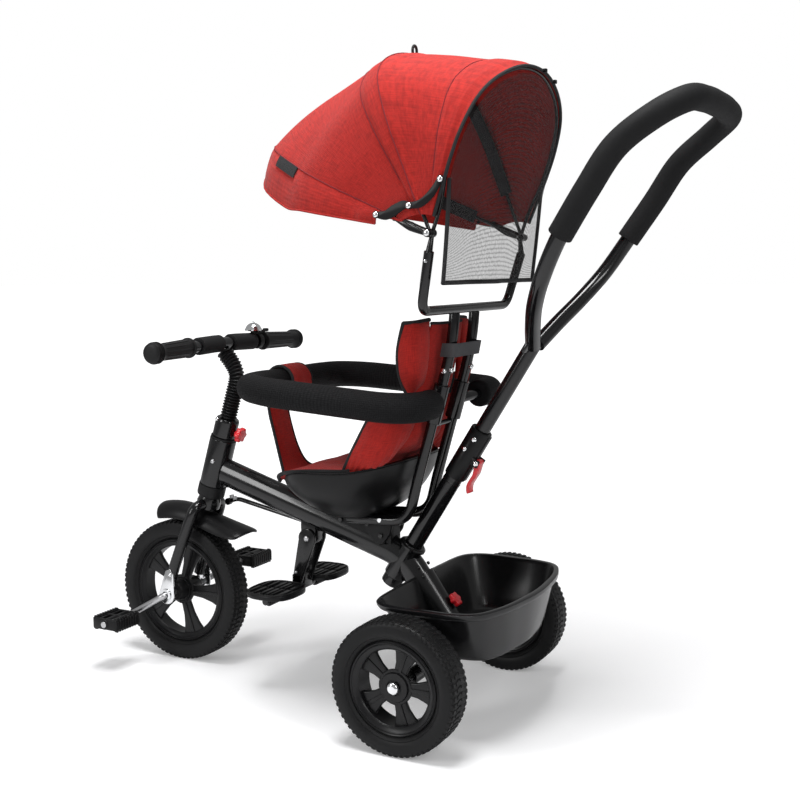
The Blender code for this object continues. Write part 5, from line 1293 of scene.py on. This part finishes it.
def make_crotch_strap():
    """The strap between the rider's legs, from the seat's front edge up and over the guard's front bar."""
    bar = Vector((0, -0.316, 0.517))
    reach, half_columns, loop_from = 0.0268, 8, 40
    line = [(-0.256, 0.3490, 0.082), (-0.270, 0.3560, 0.076), (-0.284, 0.3610, 0.066),
            (-0.296, 0.3640, 0.052), (-0.3060, 0.3700, 0.040), (-0.3145, 0.3850, 0.0325),
            (-0.3235, 0.4080, 0.0290), (-0.3330, 0.440, 0.0275), (-0.3405, 0.478, 0.0275)]
    line += [(bar.y + reach * math.cos(a), bar.z + reach * math.sin(a), 0.0280)
             for a in (math.radians(d) for d in (180, 155, 130, 105, 80, 55, 33, 10, -15))]
    path = smooth_path([(half, y, z) for y, z, half in line], 5)
    rows = []
    for i, here in enumerate(path):
        fade = max(0.0, 1 - i / loop_from)
        row = []
        for k in range(2 * half_columns + 1):
            s = k / half_columns - 1
            dip = 0.004 * fade * (1 - s * s)
            ripple = 0.0016 * noise.noise(Vector((s * 1.4, here.y * 26, here.z * 26)))
            row.append(Vector((here.x * s, here.y + ripple, here.z - dip)))
        rows.append(row)
    strap = add_part("crotch_strap", pillow(rows, 0.0022, 0.0010, 0.001, 40), RED_CLOTH, "frame", sharp=60)
    for side, name in SIDES:
        edge = [row[-1 if side > 0 else 0] for row in rows[2::4]]
        piping(f"strap_piping_{name}", edge, "frame", NARROW_PIPING)


# Guard ring: its left half, from the sleeve on the back post round to the middle of the front
GUARD_ROUTE = [(0.0470, -0.0175, 0.4955), (0.0650, -0.0100, 0.4980), (0.0900, -0.0040, 0.5000),
               (0.1250, -0.0040, 0.5005), (0.1530, -0.0170, 0.5010), (0.1645, -0.0480, 0.5020),
               (0.1660, -0.1000, 0.5055), (0.1655, -0.2000, 0.5125), (0.1600, -0.2600, 0.5165),
               (0.1380, -0.2980, 0.5185), (0.0950, -0.3130, 0.5185), (0.0450, -0.3160, 0.5175),
               (0.0012, -0.3160, 0.5170)]


def make_guard():
    foam_radius, seam_drop = 0.0226, 0.0224
    sleeve = [(0.0092, -0.0310), (0.0125, -0.0310), (0.0125, 0.0310), (0.0092, 0.0310)]
    for side, name in SIDES:
        route = [Vector((side * x, y, z)) for x, y, z in GUARD_ROUTE]
        place = rest_matrix((side * POST_POINT.x, POST_POINT.y, POST_POINT.z), POST_TILT)
        parts = [turned(rounded_profile(sleeve + sleeve[:1], 0.0008), place, 40, closed=True),
                 tube(smooth_path(route, 4), 0.008, 20)]
        add_part(f"guard_arm_{name}", merged(*parts), BLACK_PAINT, f"guard_{name}")
        padded = smooth_path(route, 8)[16:]
        radii = [foam_radius + 0.0004 * noise.noise(p * 18) for p in padded]
        foam = add_part(f"guard_foam_{name}", tube(padded, radii, 56, soft_end=0.0045), KNIT_COVER,
                        f"guard_{name}", sharp=60)
        seam = [p + Vector((0, 0, -seam_drop)) for p in padded[2:-2]]
        add_piece(f"guard_seam_{name}", tube(seam[::3], 0.0011, 10), PIPING, f"guard_{name}", slot="foam")


# Basket

def make_basket():
    """The basket: one skin that goes up outside, over its rolled rim and down inside, round an outline."""
    half = [(0.0, -0.064), (0.07, -0.0645), (0.135, -0.0625), (0.163, -0.049), (0.175, -0.020),
            (0.173, 0.030), (0.170, 0.070), (0.154, 0.103), (0.106, 0.122), (0.050, 0.130), (0.0, 0.133)]
    outline = smooth_loop([(x, y, 0) for x, y in half + [(-x, y) for x, y in half[-2:0:-1]]], 6)
    middle_y, floor, rim, tail = 0.034, 0.1225, 0.2045, 0.012
    outside = [(0.0, -0.040), (0.0, -0.012), (0.0, -0.003), (0.03, 0.0), (0.10, 0.0), (0.25, 0.0),
               (0.45, 0.0), (0.65, 0.0), (0.85, 0.0), (0.905, 0.0)]
    rolled_rim = [(0.915, 0.0018), (0.918, 0.0072), (0.932, 0.0086), (0.980, 0.0090), (1.025, 0.0086),
                  (1.042, 0.0066), (1.048, 0.0026), (1.040, -0.0012), (1.01, -0.0028)]
    inside = [(0.97, -0.0030), (0.80, -0.0030), (0.55, -0.0030), (0.30, -0.0032), (0.14, -0.0036),
              (0.075, -0.0055), (0.045, -0.010), (0.038, -0.020), (0.035, -0.045)]
    rows = []
    for climb, out in outside + rolled_rim + inside:
        taper = 0.72 + 0.28 * min(1.0, climb) ** 0.8
        row = []
        for point in outline:
            spoke = Vector((point.x, point.y - middle_y))
            spread = spoke * taper + spoke.normalized() * out
            row.append(Vector((spread.x, middle_y + tail * (1 - climb) + spread.y,
                               floor + (rim - floor) * climb)))
        rows.append(row + row[:1])
    basket = carved(surface(rows, closed=True, capped=True), frame_tube(0.0015, 40))
    high, low = frame_centre()[-2:]
    run = [high.lerp(low, t) for t in (0.10, 0.3, 0.5, 0.7, 0.84)]
    tunnel = tube(run, 1.0, 48, (0.0232, 0.0284))
    add_part("rear_basket", merged(basket, tunnel), GLOSS_BLACK, "frame", sharp=44)
    down = (run[-1] - run[0]).normalized()
    normal = Vector((0, -down.z, down.y))
    bolts = []
    for share, side in ((0.02, 0.017), (0.02, -0.017), (0.14, 0.0195), (0.14, -0.0195)):
        at = high.lerp(low, share) + Vector((side, 0, 0)) + normal * 0.0200
        bolts.append(domed_bolt(at, normal, 0.0030, 0.0022))
    add_piece("basket_bolts", merged(*bolts), BLACK_PAINT, "frame")


# Canopy

# Each hoop's arch, as places to the left and reaches from the pivot line, and the angle it stands at
REAR_ARCH = [(0.1795, 0.085), (0.181, 0.112), (0.178, 0.148), (0.160, 0.192), (0.122, 0.224),
             (0.062, 0.248), (0.0, 0.2555)]
MIDDLE_ARCH = [(0.1740, 0.080), (0.1745, 0.120), (0.174, 0.170), (0.160, 0.225), (0.130, 0.257),
               (0.070, 0.282), (0.0, 0.2925)]
FRONT_ARCH = [(0.1665, 0.092), (0.1640, 0.130), (0.163, 0.172), (0.151, 0.225), (0.129, 0.266),
              (0.075, 0.345), (0.0, 0.3825)]
REAR_ANGLE, MIDDLE_ANGLE, FRONT_ANGLE = 70.5, 111.5, 156.5
# How many degrees the visor reaches past the front hoop
VISOR_REACH = 11.5
COVER_OFFSET = 0.0062
REAR_STEPS, FRONT_STEPS = 42, 45
HOOP_RADIUS = 0.0029
HEM_RADIUS = 0.0016
# Where the cover's sides go on down towards the pivots, below each arch
REAR_SIDE = [(0.1738, 0.026), (0.1765, 0.058)]
MIDDLE_SIDE = [(0.1738, 0.028), (0.1745, 0.056)]
FRONT_SIDE = [(0.1738, 0.044), (0.1705, 0.068)]


def canopy_point(x, reach, angle):
    """A point at a reach from the canopy's pivot line, at an angle from straight back."""
    a = math.radians(angle)
    return CANOPY_PIVOT + Vector((x, reach * math.cos(a), reach * math.sin(a)))


def hoop_path(foot, arch, angle):
    """A whole hoop, from its left foot over the top to its right foot."""
    half = [canopy_point(x, h, angle) for x, h in foot + arch]
    return half + mirrored(half[-2::-1])


def arch_at(angle):
    """The cover's arch at an angle, sagging a little between the two hoops beside it."""
    stops = ((REAR_ANGLE, REAR_SIDE + REAR_ARCH), (MIDDLE_ANGLE, MIDDLE_SIDE + MIDDLE_ARCH),
             (FRONT_ANGLE, FRONT_SIDE + FRONT_ARCH))
    for (low, first), (high, second) in zip(stops, stops[1:]):
        if angle <= high:
            break
    share = min(1.0, (angle - low) / (high - low))
    deepest_sag = 0.05
    sag = 1 - deepest_sag * max(0.0, math.sin(math.pi * max(0.0, share)))
    return [(a[0] + share * (b[0] - a[0]), (a[1] + share * (b[1] - a[1])) * sag)
            for a, b in zip(first, second)]


def cover_row(angle, growth=0.0, fine=5):
    """One line of the cover over the top, from its left hem to its right hem. Past the front hoop the hems
    draw in to the visor's corners, and its middle dips."""
    points = arch_at(angle)
    grown = []
    for i, (x, h) in enumerate(points):
        after, before = points[min(i + 1, len(points) - 1)], points[max(i - 1, 0)]
        along = Vector((after[0] - before[0], after[1] - before[1])).normalized()
        out = Vector((along.y, -along.x)) * (COVER_OFFSET + growth)
        grown.append((x + out.x, h + out.y))
    grown[-1] = (0.0, points[-1][1] + COVER_OFFSET + growth)
    if angle > FRONT_ANGLE:
        corner_degrees = 6
        share = min(1.0, (angle - FRONT_ANGLE) / corner_degrees)
        x, h = grown[2]
        for i, rise in enumerate((-0.004, 0.010, 0.022)):
            grown[i] = tuple(a + share * (b - a) for a, b in zip(grown[i], (x, h + rise)))
    dip = max(0.0, angle - FRONT_ANGLE) / VISOR_REACH
    half = [canopy_point(x, h, angle + dip * (-4.6 + 6.8 * min(1.0, x / 0.13) ** 1.5)) for x, h in grown]
    return smooth_path(half + mirrored(half[-2::-1]), fine)


def pocket_rise(angle):
    """How far the cover stands off where a sewn pocket holds a hoop under it."""
    if angle < REAR_ANGLE + 12:
        away = abs(angle - REAR_ANGLE - 6.5)
    else:
        away = abs(angle - MIDDLE_ANGLE - 1.5) - 1.5
    return 0.0026 * min(1.0, max(0.0, (5.2 - away) / 1.6)) - 0.0008


def crumpled(rows, amount):
    """Small soft hollows and tension lines in a cover, fading out at its hoops and near its pivots."""
    last = len(rows) - 1
    held_from, held_over = 0.07, 0.08
    for j, row in enumerate(rows):
        fade = math.sin(math.pi * j / last) ** 0.7
        for k, point in enumerate(row):
            lengthwise = Vector((point.x * 30, point.y * 10, point.z * 10))
            hollow = noise.noise(point * 9) + 0.5 * noise.noise(lengthwise)
            reach = point - CANOPY_PIVOT
            away = Vector((point.x * 0.6, reach.y, reach.z)).normalized()
            held = min(1.0, max(0.0, (Vector((0, reach.y, reach.z)).length - held_from) / held_over))
            row[k] = point + away * amount * fade * held * hollow
    return rows


def lifted(points, height):
    """Points moved off the cover, away from the canopy's pivots."""
    return [p + (p - CANOPY_PIVOT).normalized() * height for p in points]


def make_cover():
    """The cover in two panels that meet at the middle hoop, each lying between its own two hoops."""
    wall = 0.0014
    back_hem = REAR_ANGLE - 1
    rear_angles = [back_hem + (MIDDLE_ANGLE - back_hem) * k / REAR_STEPS for k in range(REAR_STEPS + 1)]
    rear_rows = crumpled([cover_row(a, pocket_rise(a)) for a in rear_angles], 0.0036)
    front_angles = [MIDDLE_ANGLE + (FRONT_ANGLE - MIDDLE_ANGLE) * k / FRONT_STEPS
                    for k in range(FRONT_STEPS + 1)]
    front_rows = crumpled([cover_row(a, pocket_rise(a)) for a in front_angles], 0.0040)
    visor = ((2.0, 0.0014), (4.0, 0.0022), (6.0, 0.0026), (8.0, 0.0026), (10.0, 0.0020),
             (VISOR_REACH, 0.0012))
    front_rows += [cover_row(FRONT_ANGLE + ahead, growth) for ahead, growth in visor]
    panels = []
    for name, rows in (("canopy_rear_panel", rear_rows), ("canopy_front_panel", front_rows)):
        width = max(path_length(rows[0]), path_length(rows[-1]))
        length = path_length([row[len(row) // 2] for row in rows])
        panel = add_piece(name, walled(surface(rows), wall), RED_CLOTH, None, sharp=70)
        panels.append((panel, width, length))
    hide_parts("canopy_cover")
    # Painted shadow: a thin dark thread line on each panel along its hoop pocket's edge stands in for the
    # shadow of the pocket's fold
    lines = [add_piece(name, tube(lifted(row[11:-11], 0.0004), 0.0008, 6), SEAM_AND_SHADOW_LINE, None)
             for name, row in (("rear_pocket_shadow_line", rear_rows[13]),
                               ("front_pocket_shadow_line", front_rows[9]))]
    return panels, lines, rear_rows, front_rows


def make_canopy_trim(rear_rows, front_rows):
    """The cover's bound edge, seams, hems and tag, the loop on its top and the window's clips."""
    edge = [p + Vector((0, 0.0010, 0)) for p in rear_rows[0]]
    piping("canopy_rear_piping", edge, "frame", 0.0025, 1)
    for name, row, height, body in (("middle_seam", rear_rows[-1], 0.0004, "mid_hoop"),
                                    ("visor_seam", front_rows[FRONT_STEPS], 0.0003, "front_hoop")):
        add_piece(name, tube(lifted(row, height), 0.0009, 8), SEAM_AND_SHADOW_LINE, body)
    visor_rows = front_rows[FRONT_STEPS:]
    for name, hem in (("visor_hem", visor_rows[-1]), ("visor_side_hem_left", [row[0] for row in visor_rows]),
                      ("visor_side_hem_right", [row[-1] for row in visor_rows])):
        add_piece(name, tube(hem, HEM_RADIUS, 10), RED_CLOTH, "front_hoop")

    tag_rows = []
    for row, after in zip(visor_rows[:2], visor_rows[1:]):
        between = [a.lerp(b, 0.5) for a, b in zip(row, after)]
        tag_rows += [lifted(line[29:34], 0.0012) for line in (row, between)]
    add_piece("visor_tag", walled(surface(tag_rows), 0.0012, 1.0), PIPING, "front_hoop")

    top = rear_rows[-1][len(rear_rows[-1]) // 2]
    half = ((0.006, -0.001), (0.0068, 0.008), (0.003, 0.0135))
    loop = [top + Vector((x, 0, z)) for x, z in (*half, *[(-x, z) for x, z in half[::-1]])]
    add_piece("top_loop", tube(smooth_path(loop, 6), 0.0022, 12), PIPING, "mid_hoop")
    clips = []
    for share in (0.53, 0.57):
        at = rear_rows[0][int(len(rear_rows[0]) * share)]
        clips.append(block_from(at, (-0.003, 0.0, -0.003), (0.003, 0.008, 0.003), 0.0012))
    add_piece("window_clips", merged(*clips), SATIN_BLACK, "frame")


def make_window():
    """The mesh window: it hangs from the rear hoop, over the back of the bracket, to a straight bound hem."""
    hem_y, hem_z, hem_half, lines, wall = 0.058, 0.684, 0.168, 14, 0.0008
    inside = [(x - 0.004 if x else 0.0, h - 0.007) for x, h in REAR_ARCH]
    top_row = [p + Vector((0, 0.0060, 0)) for p in smooth_path(hoop_path([], inside, REAR_ANGLE), 5)]
    last = len(top_row) - 1
    rows = []
    for fall in (j / lines for j in range(lines + 1)):
        row = []
        for k, p in enumerate(top_row):
            x = hem_half * (1 - 2 * k / last)
            wave = 0.006 * math.cos(30 * x) + 0.004 * math.sin(58 * x + 1) * fall
            row.append(p.lerp(Vector((x, hem_y + wave, hem_z)), fall))
        rows.append(row)
    window = add_part("mesh_window", walled(surface(rows), wall), BLACK_MESH, "frame", sharp=70)
    hem = piping("window_hem", rows[-1], "frame", EDGE_PIPING, 1)
    sides = [piping(f"window_side_hem_{name}", [row[end] for row in rows], "frame", 0.0030, 2)
             for name, end in (("left", 0), ("right", -1))]
    width, length = path_length(top_row), path_length([row[last // 2] for row in rows])
    return window, [hem, *sides], width, length, sheet_area(rows)


def link_plate(points, widths, low, high):
    """A flat link along a curved middle line, with its half widths along it, rounded at both its eyes."""
    eye_radius = 0.0054
    path = smooth_path([(y, z, 0) for y, z in points], 8)
    count = len(path) - 1
    upper, lower = [], []
    for k, point in enumerate(path):
        ahead = (path[min(k + 1, count)] - path[max(k - 1, 0)]).normalized()
        across_link = Vector((-ahead.y, ahead.x, 0))
        share = k / count * (len(widths) - 1)
        here = int(min(share, len(widths) - 2))
        half = widths[here] + (widths[here + 1] - widths[here]) * (share - here)
        upper.append(point + across_link * half)
        lower.append(point - across_link * half)
    parts = [side_plate(upper + lower[::-1], low, high, 0.0005)]
    for end in (path[0], path[-1]):
        disc = [(end.x + eye_radius * math.cos(a), end.y + eye_radius * math.sin(a))
                for a in (math.tau * k / 28 for k in range(28))]
        parts.append(side_plate(disc, low - 0.0001, high + 0.0001, 0.0005))
    return merged(*parts)


def pivot_pin(side, low, high, radius):
    """A round piece on the canopy's pivot line, on one side, between two places across."""
    return tube([CANOPY_PIVOT + Vector((side * x, 0, 0)) for x in (low, high)], radius, 24, soft_end=0.0005)


def make_canopy_frame():
    corner, top = Vector((0.157, 0.016, 0.643)), Vector((0.172, 0.0363, 0.7275))
    flip = Vector((-1, 1, 1))
    bar = rounded_path([top * flip, corner * flip, corner, top], 0.020, 10)
    add_part("canopy_bracket", tube(bar, 0.00725, 28, soft_end=0.0008), BLACK_PAINT, "frame")
    direction = (top - corner).normalized()
    button_at = corner.lerp(top, 0.85)
    button = [(0, -0.001), (0.0027, -0.001), (0.0027, 0.0080), (0.0020, 0.0092), (0, 0.0097)]
    legs, bolts = [], []
    for side, name in SIDES:
        sign = Vector((side, 1, 1))
        legs.append(tube([(top - 0.030 * direction) * sign, (top + 0.001 * direction) * sign,
                          Vector((side * 0.1652, 0.0375, 0.7500))], [0.0050, 0.0050, 0.0032], 20))
        for low, high, radius in ((0.1622, 0.1678, 0.0062), (0.1690, 0.1830, 0.0024),
                                  (0.1812, 0.1835, 0.0056)):
            legs.append(pivot_pin(side, low, high, radius))
        bolts.append(domed_bolt(CANOPY_PIVOT + Vector((side * 0.1833, 0, 0)), (side, 0, 0), 0.0048, 0.0030))
        add_part(f"snap_button_{name}", turned(button, facing(button_at * sign, (side, 0, 0)), 24), CHROME,
                 f"snap_button_{name}")
    rear = hoop_path([(0.1650, 0.0), (0.1652, 0.035), (0.1710, 0.060)], REAR_ARCH, REAR_ANGLE)
    add_part("rear_hoop", merged(tube(smooth_path(rear, 4), HOOP_RADIUS, 14), *legs), BLACK_PAINT, "frame")
    add_piece("pivot_bolts", merged(*bolts), CHROME, "frame")
    make_moving_hoop("mid_hoop", [(0.1715, 0.0), (0.1720, 0.040)], MIDDLE_ARCH, MIDDLE_ANGLE)
    make_moving_hoop("front_hoop", [(0.1780, 0.0), (0.1765, 0.030), (0.1705, 0.060)], FRONT_ARCH, FRONT_ANGLE)
    make_stays()


def make_moving_hoop(name, foot, arch, angle):
    """A hoop that turns on the canopy's pivots, with an eye at each foot and a cloth pocket sewn over it.
    The front one has a flat blade at each foot."""
    layer = foot[0][0]
    parts = [tube(smooth_path(hoop_path(foot, arch, angle), 4), HOOP_RADIUS, 14)]
    pocket = smooth_path([canopy_point(x - 0.0012, h - 0.0012, angle) for x, h in arch], 5)
    pocket += mirrored(pocket[-2::-1])
    add_piece(f"{name}_pocket", tube(pocket, 1.0, 16, (0.0042, 0.0105), soft_end=0.001), PIPING, name)
    eye = [(0.0028, -0.0025), (0.0060, -0.0025), (0.0060, 0.0025), (0.0028, 0.0025)]
    for side, _ in SIDES:
        parts.append(turned(eye, across(CANOPY_PIVOT + Vector((side * layer, 0, 0))), 28, closed=True))
        if name == "front_hoop":
            blade = [canopy_point(0, h, angle + a) for h, a in ((0.0, 0), (0.030, 4), (0.058, 0))]
            low, high = sorted((side * (layer - 0.0030), side * (layer - 0.0005)))
            parts.append(link_plate([p.yz for p in blade], [0.0050, 0.0066, 0.0040], low, high))
    add_part(name, merged(*parts), BLACK_PAINT, name)


def make_stays():
    """The flat folding stays beside the hoops: on each side a front and a rear link that meet at a knee."""
    front_pin, knee, rear_pin = (-0.0418, 0.7816), (0.0122, 0.7926), (0.0615, 0.8271)
    front_line = [front_pin, (-0.026, 0.7800), (-0.012, 0.7868), (0.002, 0.7935), knee]
    rear_line = [knee, (0.030, 0.7945), (0.0475, 0.8075), rear_pin]
    links = (("front", front_line, (0.0044, 0.0066, 0.0078, 0.0064, 0.0040), (0.1832, 0.1852),
              front_pin, (0.1709, 0.1850)),
             ("rear", rear_line, (0.0042, 0.0056, 0.0056, 0.0042), (0.1858, 0.1878),
              rear_pin, (0.1832, 0.1872)))
    for side, name in SIDES:
        for end, line, widths, faces, pin, pin_ends in links:
            low, high = sorted(side * x for x in faces)
            link = link_plate(line, widths, low, high)
            pin_rod = tube([(side * x, *pin) for x in pin_ends], 0.0022, 12)
            add_part(f"stay_{end}_{name}", merged(link, pin_rod), SATIN_BLACK, f"stay_{end}_{name}",
                     slot="black_paint")
        for label, end, x, pins in (("bolt", "front", 0.1852, (front_pin,)),
                                    ("bolts", "rear", 0.1878, (knee, rear_pin))):
            bolts = [domed_bolt(Vector((side * x, *pin)), (side, 0, 0), 0.0044, 0.0028) for pin in pins]
            add_piece(f"stay_{end}_{label}_{name}", merged(*bolts), CHROME, f"stay_{end}_{name}")


# Studio

AMBIENT = 0.26
GLOSSY_WHITE = 0.12
FLOOR_LIFT = 0.22
LAMPS = (("overhead_softbox", (0.35, 0.1, 2.7), (0.9, 1.1), 66),
         ("left_softbox", (2.2, -1.3, 1.5), (0.45, 1.5), 22),
         ("rear_softbox", (1.3, 2.3, 1.9), (0.5, 1.3), 20))
LAMPS_AIM_AT = Vector((0, 0, 0.45))


def make_floor():
    """A white floor that glows more with its distance, so that it meets the white background unseen."""
    glow_reach, half_size = 5.0, 40
    floor_material = bpy.data.materials.new("white_sweep")
    floor_material.use_nodes = True
    tree = floor_material.node_tree
    shader = tree.nodes["Principled BSDF"]
    shader.inputs["Base Color"].default_value = (0.86, 0.86, 0.87, 1)
    shader.inputs["Roughness"].default_value = 0.55
    shader.inputs["Specular IOR Level"].default_value = 0.2
    shader.inputs["Emission Color"].default_value = (1, 1, 1, 1)
    away = tree.nodes.new("ShaderNodeVectorMath")
    away.operation = "LENGTH"
    tree.links.new(tree.nodes.new("ShaderNodeTexCoord").outputs["Object"], away.inputs[0])
    share = math_node(tree, "DIVIDE", away.outputs["Value"], glow_reach)
    lift = ramp(tree, share, [(0.18, FLOOR_LIFT), (0.6, 1.0)])
    seen = math_node(tree, "MULTIPLY", tree.nodes.new("ShaderNodeLightPath").outputs["Is Camera Ray"], lift)
    tree.links.new(seen, shader.inputs["Emission Strength"])
    bm = bmesh.new()
    bmesh.ops.create_grid(bm, x_segments=1, y_segments=1, size=half_size)
    floor = as_object("floor", bm)
    floor.data.materials.append(floor_material)


def make_studio():
    """White surroundings that light the trike softly, and three softboxes."""
    make_floor()
    bpy.context.scene.view_settings.view_transform = "Standard"
    world = bpy.data.worlds.new("studio")
    bpy.context.scene.world = world
    world.use_nodes = True
    tree = world.node_tree
    background = tree.nodes["Background"]
    background.inputs["Color"].default_value = (1, 1, 1, 1)
    path = tree.nodes.new("ShaderNodeLightPath")
    mirrored_white = math_node(tree, "MULTIPLY", path.outputs["Is Glossy Ray"], GLOSSY_WHITE)
    seen = math_node(tree, "MAXIMUM", path.outputs["Is Camera Ray"], mirrored_white)
    seen = math_node(tree, "MAXIMUM", seen, path.outputs["Is Transmission Ray"])
    strength = math_node(tree, "MULTIPLY_ADD", seen, 1.0 - AMBIENT)
    strength.node.inputs[2].default_value = AMBIENT
    tree.links.new(strength, background.inputs["Strength"])

    for name, at, size, power in LAMPS:
        light = bpy.data.lights.new(name, "AREA")
        light.shape = "RECTANGLE"
        light.size, light.size_y = size
        light.energy = power
        lamp = bpy.data.objects.new(name, light)
        lamp.matrix_world = facing(Vector(at), Vector(at) - LAMPS_AIM_AT)
        bpy.context.scene.collection.objects.link(lamp)


def make_camera():
    """The photograph's viewpoint: behind the trike and to its left, looking slightly down."""
    place = Vector((1.6602, 0.7772, 0.7058))
    focal_pixels, photo_pixels, sensor = 1169.86, 800, 36.0
    azimuth, elevation, roll = math.radians(117.937), math.radians(6.449), math.radians(-0.495)
    back = Vector((math.sin(azimuth) * math.cos(elevation), -math.cos(azimuth) * math.cos(elevation),
                   math.sin(elevation)))
    right = (-back).cross(Vector((0, 0, 1))).normalized()
    up = back.cross(right)
    turn = Matrix((right, up, back)).transposed().to_4x4() @ Matrix.Rotation(roll, 4, "Z")
    data = bpy.data.cameras.new("camera")
    data.sensor_width = sensor
    data.lens = sensor * focal_pixels / photo_pixels
    camera = bpy.data.objects.new("camera", data)
    camera.matrix_world = Matrix.Translation(place + SHIFT) @ turn
    bpy.context.scene.collection.objects.link(camera)
    bpy.context.scene.camera = camera


def main():
    for make in (make_camera, make_studio, make_wheels, make_frame, make_fork, make_knobs, make_handlebar,
                 make_pedals, make_footrest, make_push_handle, make_seat_shell, make_posts, make_liner,
                 make_crotch_strap, make_guard, make_basket):
        make()
    panels, lines, rear_rows, front_rows = make_cover()
    make_canopy_trim(rear_rows, front_rows)
    window, hems, window_width, window_length, window_area = make_window()
    make_canopy_frame()
    (rear_panel, rear_width, rear_length), (front_panel, front_width, front_length) = panels
    bend_cloth([rear_panel, lines[0]])
    bend_cloth([front_panel, lines[1]])


def sheet_area(rows):
    """The area of a sheet through rows of points."""
    total = 0.0
    for first, second in zip(rows, rows[1:]):
        for a, b, c, d in zip(first, first[1:], second[1:], second):
            total += ((b - a).cross(d - a).length + (b - c).cross(d - c).length) / 2
    return total


def bend_cloth(cloth):
    """A panel and the painted shadow line on it have their placing baked into their meshes."""
    for piece in cloth:
        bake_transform(piece)


main()
